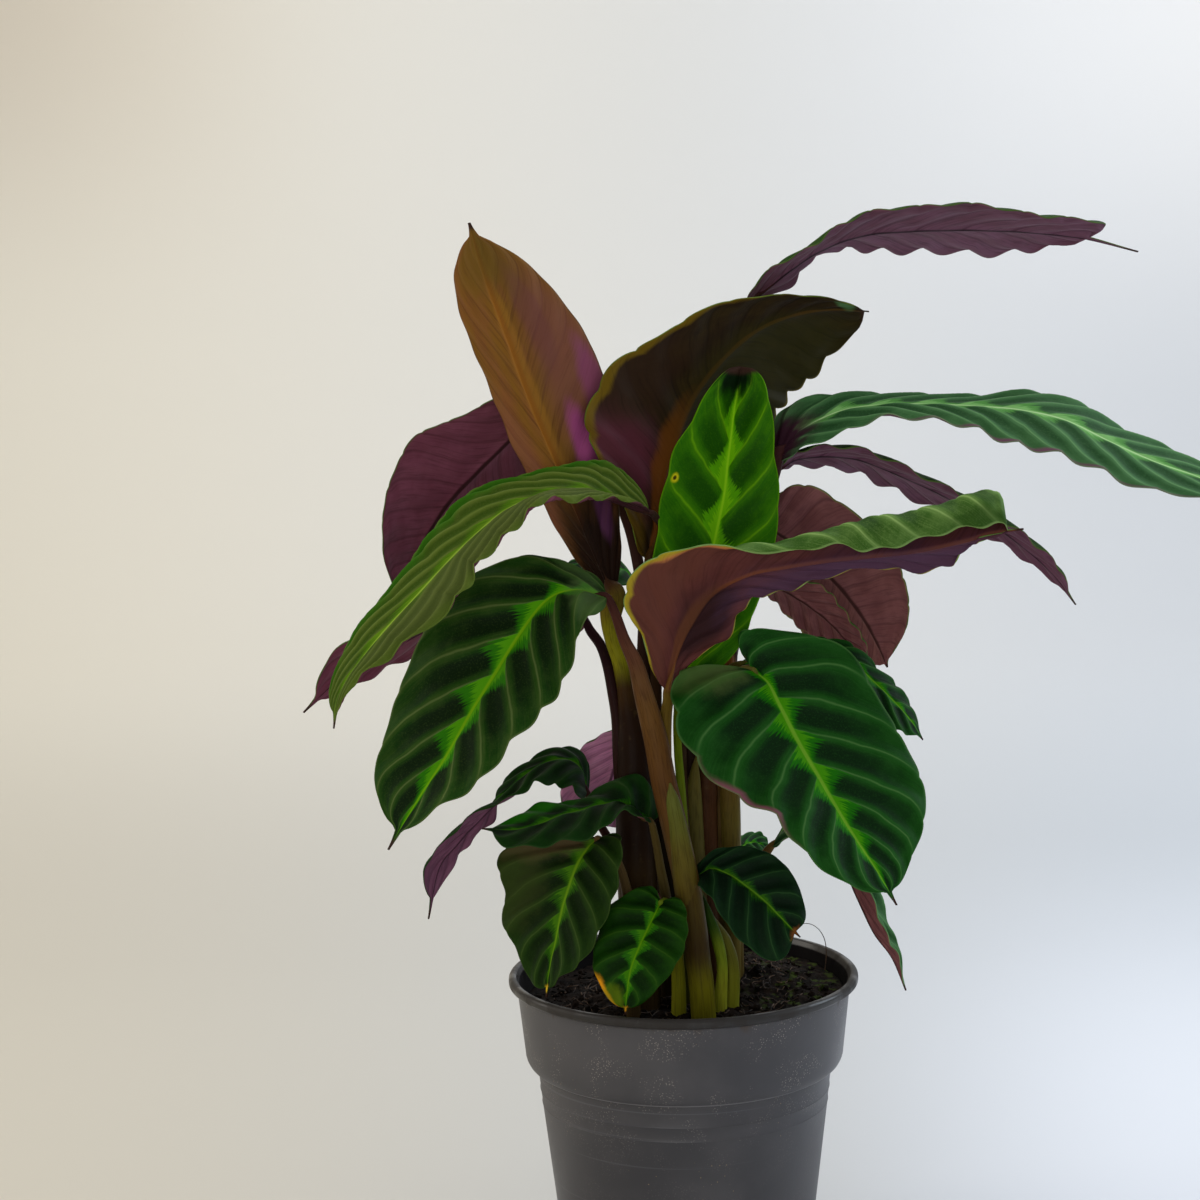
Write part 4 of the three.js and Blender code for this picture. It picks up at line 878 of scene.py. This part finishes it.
def extended(arm):
    """The arm's points, led a little way under the blade's midrib so that the two grow together."""
    points = [Vector(p) for p in arm["points"]]
    if "leaf" not in arm:
        return points
    leaf = LEAVES[arm["leaf"]]
    lead = []
    for t, radius in UNDER_RIB:
        below = blade_point(leaf, 0.0, t, 0.0) - blade_up(leaf, t) * UNDER_FACE
        lead.append(Vector((*below, radius)))
    return [*lead, *points]


def blade_up(leaf, t):
    """Which way the green face looks along the midrib."""
    ahead = direction(leaf["rib"], t)
    left, right = (by_station([Vector(v) for v in leaf[half]], t) for half in ("left", "right"))
    return ahead.cross(left - right).normalized()


def stalk_shell(shell, points, tint):
    """Adds one arm to a bmesh: a grid wrapped round the curve, closed at both ends."""
    rings = RINGS_PER_SPAN * (len(points) - 1)
    made = bmesh.ops.create_grid(shell, x_segments=STALK_SIDES, y_segments=rings, size=0.5)["verts"]
    plan = shell.loops.layers.uv["stalk"]
    stain = shell.verts.layers.float_color["tint"]
    tones = [Vector(colour(*c)) for c in tint]
    length = sum((b - a).xyz.length for a, b in zip(points, points[1:]))
    faces = {face for vertex in made for face in vertex.link_faces}
    smoothed(faces)
    for face in faces:
        for corner in face.loops:
            corner[plan].uv = (corner.vert.co.x + 0.5, (corner.vert.co.y + 0.5) * length / STALK_UNIT)
    for vertex in made:
        angle, t = FULL_TURN * (vertex.co.x + 0.5), vertex.co.y + 0.5
        centre = along(points, t)
        ahead = direction([p.xyz for p in points], t)
        side = Vector((0, 1, 0)).cross(ahead).normalized()
        front = ahead.cross(side)
        groove = GROOVE_DEPTH * math.exp(-((angle - GROOVE_ANGLE) / GROOVE_WIDTH) ** 2)
        radius = max(centre.w, THINNEST) * (1 - groove + 0.025 * math.cos(3 * angle + 5 * t))
        out = side * math.cos(angle) + front * math.sin(angle)
        vertex.co = (centre.xyz + out * radius) * MM
        place = t * (len(tones) - 1)
        band = min(int(place), len(tones) - 2)
        vertex[stain] = (*tones[band].lerp(tones[band + 1], eased(place - band)), 1.0)
    welded(shell, made)
    capped(shell)


def stem_finish():
    finish = Finish("stem_skin", Roughness=0.5, Specular_IOR_Level=0.05)
    tint = finish.node("ShaderNodeAttribute")
    tint.attribute_name = "tint"
    streaks = finish.grain(finish.stretched(finish.coordinates("UV"), (9.0, 0.8, 1.0)), 5.0, 4.0)
    freckles = finish.grain(finish.coordinates("Object"), 260.0, 4.0)
    dark = finish.blend(streaks.ramp(0.42, 0.75, 0.0, 0.5), tint.outputs["Color"], colour(38, 22, 14))
    finish.colour(finish.blend(freckles.ramp(0.6, 0.78, 0.0, 0.15), dark, colour(110, 96, 50)))
    finish.roughness(streaks.ramp(0.3, 0.7, 0.38, 0.55))
    finish.relief(streaks + freckles * 0.3, 0.25, 0.0005)
    return finish.material


def make_shoot(node, arms, skin):
    shell = bmesh.new()
    shell.loops.layers.uv.new("stalk")
    shell.verts.layers.float_color.new("tint")
    for arm in arms:
        stalk_shell(shell, extended(arm), arm["tint"])
    bmesh.ops.recalc_face_normals(shell, faces=shell.faces)
    name = "stalks_" + node
    stalks = placed(name, finished(name, shell))
    stalks.data.materials.append(skin)
    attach(stalks, ROOT)
    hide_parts(node)


# ---- the pot --------------------------------------------------------------------------------------

POT_HEIGHT = 150
RIM_RADIUS = 85
LIP_HEIGHT = 4.4
COLLAR_TOP_RADIUS = 81.3
COLLAR_FOOT_RADIUS = 77.6
COLLAR_FOOT = 113
SHOULDER_RADIUS = 71.8
SHOULDER = 105
FOOT_RADIUS = 59.5
COLLAR_SLOPE = (COLLAR_TOP_RADIUS - COLLAR_FOOT_RADIUS) / (POT_HEIGHT - COLLAR_FOOT)
LIP_ROUND = 2.0          # radius of the lip's upper edge
EDGE_ROUND = 1.2         # radius of its lower and inner edges
WALL = 1.8
FLOOR = 2.4
FOOT_RING = 3            # height of the ring and the middle pad that the pot stands on
FOOT_RING_WIDTH = 4.5
FOOT_ROUND = 0.8
PAD_RADIUS = 32
DRAIN_CIRCLE = 44        # radius of the circle that the drain holes lie on
DRAIN_RADIUS = 5
DRAIN_HOLES = 8
BODY_LINES = (94, 87)    # heights of the two faint raised lines below the shoulder
LINE_HALF = 0.7
LINE_RISE = 0.28
POT_STEPS = 144
HIGHLIGHT_LINE_HEIGHT = 0.1056    # of the painted highlight line along the collar's foot, in metres
HIGHLIGHT_LINE_HALF = 0.0011
WALL_MIDDLE = (0.065, 0.0656)  # between the wall's inside and outside, in metres, less the collar's slope


def pot_outside(z):
    """Outside radius of the pot's wall at height z, without its lip."""
    levels = ((0, FOOT_RADIUS), (SHOULDER, SHOULDER_RADIUS), (COLLAR_FOOT, COLLAR_FOOT_RADIUS),
              (POT_HEIGHT, COLLAR_TOP_RADIUS))
    for (low, low_radius), (high, high_radius) in zip(levels, levels[1:]):
        if z <= high:
            return low_radius + (high_radius - low_radius) * (z - low) / (high - low)
    return COLLAR_TOP_RADIUS


def arc(centre, radius, start, end, steps):
    """Points of a round corner of the profile, from one angle to another in degrees."""
    angles = [math.radians(start + (end - start) * k / steps) for k in range(steps + 1)]
    return [(centre[0] + radius * math.cos(a), centre[1] + radius * math.sin(a)) for a in angles]


def pot_profile():
    """Radius and height of the pot's outside from its foot up, and then of its inside down to the floor."""
    lip_foot = POT_HEIGHT - LIP_HEIGHT
    ring_inner = FOOT_RADIUS - FOOT_RING_WIDTH
    floor_top = FOOT_RING + FLOOR
    collar_in = COLLAR_FOOT_RADIUS - SHOULDER_RADIUS
    collar_down = COLLAR_FOOT - SHOULDER
    profile = [(0, 0), (PAD_RADIUS, 0), (PAD_RADIUS + FOOT_RING, FOOT_RING), (ring_inner - 1.5, FOOT_RING),
               (ring_inner, 0.4), (ring_inner + 0.6, 0), (FOOT_RADIUS - FOOT_ROUND, 0),
               (FOOT_RADIUS, FOOT_ROUND)]
    for z in reversed(BODY_LINES):
        radius = pot_outside(z)
        profile += [(radius, z - LINE_HALF), (radius + LINE_RISE, z), (radius, z + LINE_HALF)]
    for degrees in range(0, 91, 15):
        turn = math.radians(degrees)
        out, down = collar_in * math.sin(turn), collar_down * math.cos(turn)
        profile.append((SHOULDER_RADIUS + out, COLLAR_FOOT - down))
    profile.append((COLLAR_TOP_RADIUS - 0.3, lip_foot - 1.2))
    profile += arc((RIM_RADIUS - EDGE_ROUND, lip_foot + EDGE_ROUND), EDGE_ROUND, -90, 0, 4)
    profile += arc((RIM_RADIUS - LIP_ROUND, POT_HEIGHT - LIP_ROUND), LIP_ROUND, 0, 90, 6)
    inner_top = COLLAR_TOP_RADIUS - WALL + 2.8
    profile += arc((inner_top, POT_HEIGHT - EDGE_ROUND), EDGE_ROUND, 90, 180, 4)
    profile += [(pot_outside(z) - WALL, z) for z in (POT_HEIGHT - 4, COLLAR_FOOT, SHOULDER, floor_top)]
    return profile + [(0, floor_top)]


def turned(name, profile, steps):
    """A mesh turned round the Z axis from a profile that starts and ends on it."""
    wall = bmesh.new()
    corners = [wall.verts.new((r * MM, 0, z * MM)) for r, z in profile]
    edges = [wall.edges.new(pair) for pair in zip(corners, corners[1:])]
    bmesh.ops.spin(wall, geom=corners + edges, cent=(0, 0, 0), axis=VERTICAL, angle=FULL_TURN, steps=steps,
                   use_merge=True)
    welded(wall, wall.verts)
    bmesh.ops.dissolve_degenerate(wall, dist=1e-7, edges=wall.edges)
    bmesh.ops.recalc_face_normals(wall, faces=wall.faces)
    smoothed(wall.faces)
    return finished(name, wall)


def drilled(piece):
    """Cuts the drain holes through the pot's floor."""
    drills = bmesh.new()
    for k in range(DRAIN_HOLES):
        angle = FULL_TURN * (k + 0.5) / DRAIN_HOLES
        x, y = DRAIN_CIRCLE * math.cos(angle), DRAIN_CIRCLE * math.sin(angle)
        bmesh.ops.create_cone(drills, cap_ends=True, segments=24, radius1=DRAIN_RADIUS * MM,
                              radius2=DRAIN_RADIUS * MM, depth=4 * FLOOR * MM,
                              matrix=Matrix.Translation((x * MM, y * MM, FOOT_RING * MM)))
    tool = placed("drills", finished("drills", drills))
    cut = piece.modifiers.new("drain", "BOOLEAN")
    cut.operation = "DIFFERENCE"
    cut.solver = "EXACT"
    cut.object = tool
    bpy.context.view_layer.update()
    done = bpy.data.meshes.new_from_object(piece.evaluated_get(bpy.context.evaluated_depsgraph_get()))
    piece.modifiers.clear()
    piece.data = done
    bpy.data.objects.remove(tool)


def pot_finish():
    finish = Finish("dusty_pot_plastic")
    place = finish.coordinates("Object")
    x, y, z = finish.split(place)
    haze = finish.grain(place, 14.0, 5.0)
    fine = finish.grain(place, 420.0, 3.0)
    base = finish.blend(haze.ramp(0.35, 0.7), colour(62, 61, 64), colour(80, 78, 80))
    # pale dust specks, mostly on the collar
    dusty = finish.grain(place, 60.0, 6.0).ramp(0.47, 0.6)
    specks = finish.cells(place, 900.0).ramp(0.1, 0.34, 1.0, 0.0) * dusty
    base = finish.blend(specks * z.ramp(0.07, 0.125, 0.15, 0.85), base, colour(150, 142, 134))
    gritty = finish.grain(place, 24.0).ramp(0.52, 0.56)
    grit = finish.cells(place, 260.0).ramp(0.04, 0.09, 1.0, 0.0) * gritty
    base = finish.blend(grit * 0.7, base, colour(170, 146, 104))
    # brown soil smeared over the lip and down from it
    smear = finish.grain(finish.stretched(place, (1.0, 1.0, 0.35)), 70.0, 5.0)
    dirt = (smear + z.ramp(0.13, 0.151, -0.25, 0.12)).ramp(0.52, 0.68)
    base = finish.blend(dirt * 0.7, base, colour(74, 58, 46))
    # thin dull water lines round the body
    line = finish.grain(finish.stretched(place, (0.5, 0.5, 60.0)), 6.0, 2.0)
    base = finish.blend(line.ramp(0.66, 0.72) * z.ramp(0.1, 0.108, 0.5, 0.0), base, colour(92, 92, 96))
    # a painted highlight along the foot of the collar, where its lower edge catches the light
    painted_highlight = (z - HIGHLIGHT_LINE_HEIGHT).peak(HIGHLIGHT_LINE_HALF) * haze.ramp(0.3, 0.6, 0.6, 1.0)
    base = finish.blend(painted_highlight, base, colour(138, 136, 138))
    # the inner wall above the soil is painted near black: painted shade in the pot's hollow, with some soil
    # dirt
    radius = (x * x + y * y).math("SQRT") - z * COLLAR_SLOPE
    inner = radius.ramp(*WALL_MIDDLE, 1.0, 0.0) * z.ramp(0.12, 0.128)
    base = finish.blend(inner, base, colour(16, 14, 14))
    # the lip is darker and smoother than the wall
    lip = z.ramp(0.1435, 0.1455) * (1.0 - inner)
    base = finish.blend(lip * 0.9, base, colour(31, 28, 24))
    finish.colour(base)
    finish.roughness(haze.ramp(0.3, 0.7, 0.36, 0.55) + dirt * 0.25 + inner * 0.35 - lip * 0.1)
    finish.gloss(inner.ramp(0.0, 1.0, 0.4, 0.05))
    finish.relief(fine * 0.5 + dirt * 0.6, 0.12, 0.0004)
    return finish.material


def make_pot():
    piece = placed("pot_wall", turned("pot_wall", pot_profile(), POT_STEPS))
    drilled(piece)
    piece.data.set_sharp_from_angle(angle=math.radians(40))
    piece.data.materials.clear()
    piece.data.materials.append(pot_finish())
    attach(piece, ROOT)
    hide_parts("pot")


# ---- the soil -------------------------------------------------------------------------------------

SOIL_TOP = 137
SOIL_GAP = 0.4           # between the soil and the pot's wall
SOIL_RINGS = 90
SOIL_STEPS = 220
CRUMBS = 1500
FIBRES = 420
MOUNDS = ((18, 12, 3.0), (38, 34, 5.0))  # x, y and height
MOUND_SPREAD = 900       # the square of how far a mound reaches
LUMPS = ((2.6, 13, 1.0), (1.6, 5, 5.0))  # height, size and the layer of noise
GRIT = (0.9, 1.8, 9.0)
BANK_HEIGHT = 5.5        # of the slope up to the back right
BANK_WIDTH = 60
# x, y, z and radius along the one fine dry root that stands up in an arc at the right
FINE_ROOT = ((56, -8, 174, 0.16), (60, -2, 173, 0.18), (64, 6, 170, 0.18), (68, 14, 165, 0.2),
             (71, 21, 158, 0.22), (72, 26, 149, 0.24), (71, 28, 138, 0.25))


def unevenness(x, y, height, size, layer):
    return height * noise.noise((x / size, y / size, layer))


def soil_height(x, y):
    """Height of the loose surface at a place, in millimetres: higher towards the back right."""
    centre = 1 - (math.hypot(x, y) / 78) ** 4
    mound = sum(height * math.exp(-((x - at_x) ** 2 + (y - at_y) ** 2) / MOUND_SPREAD)
                for at_x, at_y, height in MOUNDS)
    lumps = sum(unevenness(x, y, *lump) for lump in LUMPS)
    bank = BANK_HEIGHT * eased((0.7 * x + 0.7 * y) / BANK_WIDTH)
    return SOIL_TOP - 1.5 + (mound + lumps) * max(centre, 0.25) + bank + unevenness(x, y, *GRIT)


def soil_body():
    """The soil as one closed body: the loose surface on top, and the sides down along the pot's wall."""
    radius = pot_outside(SOIL_TOP) - WALL - SOIL_GAP
    body = bmesh.new()
    bmesh.ops.create_grid(body, x_segments=SOIL_STEPS, y_segments=SOIL_RINGS, size=0.5)
    for vertex in body.verts:
        angle, r = FULL_TURN * (vertex.co.x + 0.5), radius * (vertex.co.y + 0.5)
        x, y = r * math.cos(angle), r * math.sin(angle)
        vertex.co = Vector((x, y, soil_height(x, y))) * MM
    welded(body, body.verts)
    for level in (COLLAR_FOOT, SHOULDER, FOOT_RING + FLOOR + SOIL_GAP):
        lower = bmesh.ops.extrude_edge_only(body, edges=open_edges(body))["geom"]
        width = pot_outside(level) - WALL - SOIL_GAP
        for vertex in (g for g in lower if isinstance(g, bmesh.types.BMVert)):
            flat = Vector((vertex.co.x, vertex.co.y)).normalized() * width * MM
            vertex.co = (flat.x, flat.y, level * MM)
    capped(body)
    bmesh.ops.recalc_face_normals(body, faces=body.faces)
    smoothed(body.faces)
    return finished("soil_body", body)


def free_place(draw, margin):
    """A random place on the soil's surface, in millimetres, clear of the pot's wall."""
    radius = pot_outside(SOIL_TOP) - WALL - margin
    r, angle = radius * math.sqrt(draw.random()), FULL_TURN * draw.random()
    x, y = r * math.cos(angle), r * math.sin(angle)
    return Vector((x, y, soil_height(x, y)))


def soil_crumbs():
    draw = random.Random(7)
    crumbs = bmesh.new()
    for _ in range(CRUMBS):
        size = 0.5 + 2.4 * draw.random() ** 4
        place = free_place(draw, 3.0 + size)
        angle = draw.uniform(0, FULL_TURN)
        turn = Matrix.Rotation(angle, 4, Vector([draw.uniform(-1, 1) for _ in range(3)]))
        squash = Matrix.Diagonal((1.0, draw.uniform(0.5, 0.9), draw.uniform(0.35, 0.8), 1.0))
        made = bmesh.ops.create_icosphere(crumbs, subdivisions=1, radius=size * MM, matrix=turn @ squash)
        for vertex in made["verts"]:
            vertex.co *= 1 + 0.5 * noise.noise(vertex.co * 900 + place)
            vertex.co += place * MM
    return finished("soil_crumbs", crumbs)


def soil_fibres():
    draw = random.Random(11)
    fibres = bmesh.new()
    for _ in range(FIBRES):
        start = free_place(draw, 14.0)
        heading, bend = draw.uniform(0, FULL_TURN), draw.uniform(-0.6, 0.6)
        points, thickness, length = [], draw.uniform(0.1, 0.35), draw.uniform(0.8, 2.6)
        for k in range(4):
            onward = Vector((math.cos(heading + bend * k), math.sin(heading + bend * k)))
            x, y = start.xy + k * length * onward
            points.append(Vector((x, y, soil_height(x, y) + 0.5, thickness)))
        fibre_tube(fibres, points)
    fibre_tube(fibres, [Vector(p) for p in FINE_ROOT])
    bmesh.ops.recalc_face_normals(fibres, faces=fibres.faces)
    return finished("soil_fibres", fibres)


def fibre_tube(shell, points, sides=5, rings_per_span=4):
    """Adds one fibre to a bmesh: a thin tube along the points, closed at both ends."""
    rings = rings_per_span * (len(points) - 1)
    made = bmesh.ops.create_grid(shell, x_segments=sides, y_segments=rings, size=0.5)["verts"]
    for vertex in made:
        angle, t = FULL_TURN * (vertex.co.x + 0.5), vertex.co.y + 0.5
        centre = along(points, t)
        ahead = direction([p.xyz for p in points], t)
        side = ahead.cross(Vector((0.3, 0.2, 1))).normalized()
        out = side * math.cos(angle) + ahead.cross(side) * math.sin(angle)
        vertex.co = (centre.xyz + out * centre.w) * MM
    welded(shell, made)
    capped(shell)


def soil_finish():
    finish = Finish("potting_soil", Roughness=0.9, Specular_IOR_Level=0.1)
    place = finish.coordinates("Object")
    lumps = finish.grain(place, 120.0, 6.0, 0.7)
    bits = finish.cells(place, 420.0)
    dark = finish.blend(lumps.ramp(0.35, 0.7), colour(9, 6, 4), colour(36, 26, 19))
    pale = bits.ramp(0.05, 0.16, 1.0, 0.0) * finish.grain(place, 90.0).ramp(0.58, 0.68)
    dark = finish.blend(pale * 0.8, dark, colour(150, 126, 104))
    # a little moss at the right
    moss = finish.grain(place, 170.0, 5.0).ramp(0.53, 0.62) * finish.split(place)[0].ramp(0.02, 0.055)
    finish.colour(finish.blend(moss * 0.6, dark, colour(66, 84, 28)))
    finish.relief(lumps + bits * 0.5, 0.8, 0.001)
    return finish.material


def fibre_finish():
    finish = Finish("dry_fibre", Roughness=0.8)
    tone = finish.grain(finish.coordinates("Object"), 200.0, 2.0)
    finish.colour(finish.blend(tone.ramp(0.35, 0.65), colour(30, 21, 15), colour(88, 66, 46)))
    return finish.material


def make_soil():
    soil = soil_finish()
    for name, mesh, skin in (("soil_body", soil_body(), soil), ("soil_crumbs", soil_crumbs(), soil),
                             ("soil_fibres", soil_fibres(), fibre_finish())):
        mesh.materials.append(skin)
        piece = placed(name, mesh)
        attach(piece, ROOT)
        if name == "soil_body":
            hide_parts("soil")


# ---- studio ---------------------------------------------------------------------------------------

EYE = Vector((-37, -1300, 510)) * MM  # the camera's place
PITCH = 7.75             # how far the camera looks down, in degrees
ROLL = 1.1
SENSOR = 36.0
FOCAL_PIXELS = 2743.0
IMAGE_PIXELS = 1200.0
SWEEP_FRONT = -3.0       # where the floor begins, in metres
SWEEP_FLAT = 5.0         # how far it runs back before it bends up
SWEEP_BEND = 1.0         # radius of that bend
SWEEP_RUN = 10.5         # length from the front, round the bend and up the wall
SWEEP_WIDTH = 16.0
ROOM_TONE = (0.97, 0.98, 1.0, 1.0)
ROOM_STRENGTH = 0.36


def make_camera():
    data = bpy.data.cameras.new("camera")
    data.sensor_width = SENSOR
    data.lens = SENSOR * FOCAL_PIXELS / IMAGE_PIXELS
    data.clip_end = 20
    camera = placed("camera", data)
    tilt = Matrix.Rotation(math.radians(90 - PITCH), 4, "X") @ Matrix.Rotation(math.radians(-ROLL), 4, "Z")
    camera.matrix_world = Matrix.Translation(EYE) @ tilt
    bpy.context.scene.camera = camera


def make_sweep():
    """A pale floor that curves up into the backdrop behind the plant."""
    sweep = bmesh.new()
    bmesh.ops.create_grid(sweep, x_segments=8, y_segments=64, size=0.5)
    bend_run = SWEEP_BEND * math.pi / 2
    for vertex in sweep.verts:
        run = (vertex.co.y + 0.5) * SWEEP_RUN
        angle = min(max(run - SWEEP_FLAT, 0.0), bend_run) / SWEEP_BEND
        y = min(run, SWEEP_FLAT) + SWEEP_BEND * math.sin(angle)
        z = SWEEP_BEND * (1 - math.cos(angle)) + max(run - SWEEP_FLAT - bend_run, 0.0)
        vertex.co = Vector((vertex.co.x * SWEEP_WIDTH, y + SWEEP_FRONT, z))
    smoothed(sweep.faces)
    mesh = finished("sweep", sweep)
    finish = Finish("pale_sweep", Roughness=0.85)
    x, y, z = finish.split(finish.coordinates("Object"))
    # painted light: the tones go from warm at the left to cool at the right as from the tinted lamps, by the
    # angle from the camera's place
    aside = x.math("DIVIDE", (y + 1.3).math("MAXIMUM", 0.6))
    to_right = aside.ramp(-0.31, 0.24)
    wall = finish.blend(to_right, (0.83, 0.77, 0.64), (0.67, 0.7, 0.74))
    # a painted highlight high on the right of the wall
    wall = finish.blend(aside.ramp(0.0, 0.27) * z.ramp(0.15, 0.85), wall, (0.98, 0.99, 1.0))
    # painted shade high on the left of the wall
    wall = finish.blend(aside.ramp(-0.24, -0.08, 1.0, 0.0) * z.ramp(0.3, 0.9), wall, (0.68, 0.61, 0.5))
    # the floor, painted darker than the wall
    ground = finish.blend(to_right, (0.62, 0.57, 0.47), (0.55, 0.58, 0.62))
    # a painted pool of light on the floor at the front right
    ground = finish.blend(aside.ramp(0.02, 0.2) * y.ramp(0.2, 1.0, 1.0, 0.0), ground, (0.76, 0.79, 0.85))
    finish.colour(finish.blend(y.ramp(0.7, 2.1), ground, wall))
    mesh.materials.append(finish.material)
    floor = placed("sweep", mesh)


def softbox(name, place, target, size, power, tone):
    data = bpy.data.lights.new(name, "AREA")
    data.shape = "RECTANGLE"
    data.size, data.size_y = size
    data.energy = power
    data.color = tone
    lamp = placed(name, data)
    lamp.location = place
    lamp.rotation_euler = (Vector(target) - Vector(place)).to_track_quat("-Z", "Y").to_euler()


def make_lights():
    softbox("right_window", (1.6, 0.5, 1.2), (0, 0, 0.35), (1.0, 1.2), 18, (0.78, 0.89, 1.0))
    softbox("top", (0.2, 0.5, 1.7), (0, 0, 0.3), (1.4, 1.0), 11, (1.0, 1.0, 1.0))
    softbox("left_fill", (-1.6, 0.1, 0.9), (0, 0, 0.35), (1.0, 1.2), 10, (1.0, 0.93, 0.82))
    softbox("front_fill", (-0.4, -2.2, 0.5), (0, 0, 0.25), (1.5, 1.0), 10, (1.0, 0.98, 0.96))
    softbox("backdrop", (0.3, 1.3, 2.0), (0.3, 3.0, 1.4), (3.0, 0.6), 30, (1.0, 1.0, 1.0))
    world = bpy.data.worlds.new("room")
    world.use_nodes = True
    room = world.node_tree.nodes["Background"]
    room.inputs["Color"].default_value = ROOM_TONE
    room.inputs["Strength"].default_value = ROOM_STRENGTH
    bpy.context.scene.world = world


# ---- put together ---------------------------------------------------------------------------------

make_camera()
make_sweep()
make_lights()
bpy.context.scene.view_settings.view_transform = "Standard"

make_pot()
make_soil()
stem_skin = stem_finish()
for node, arms in SHOOTS.items():
    make_shoot(node, arms, stem_skin)
for seed, (key, leaf) in enumerate(LEAVES.items()):
    make_leaf(key, leaf, float(seed))
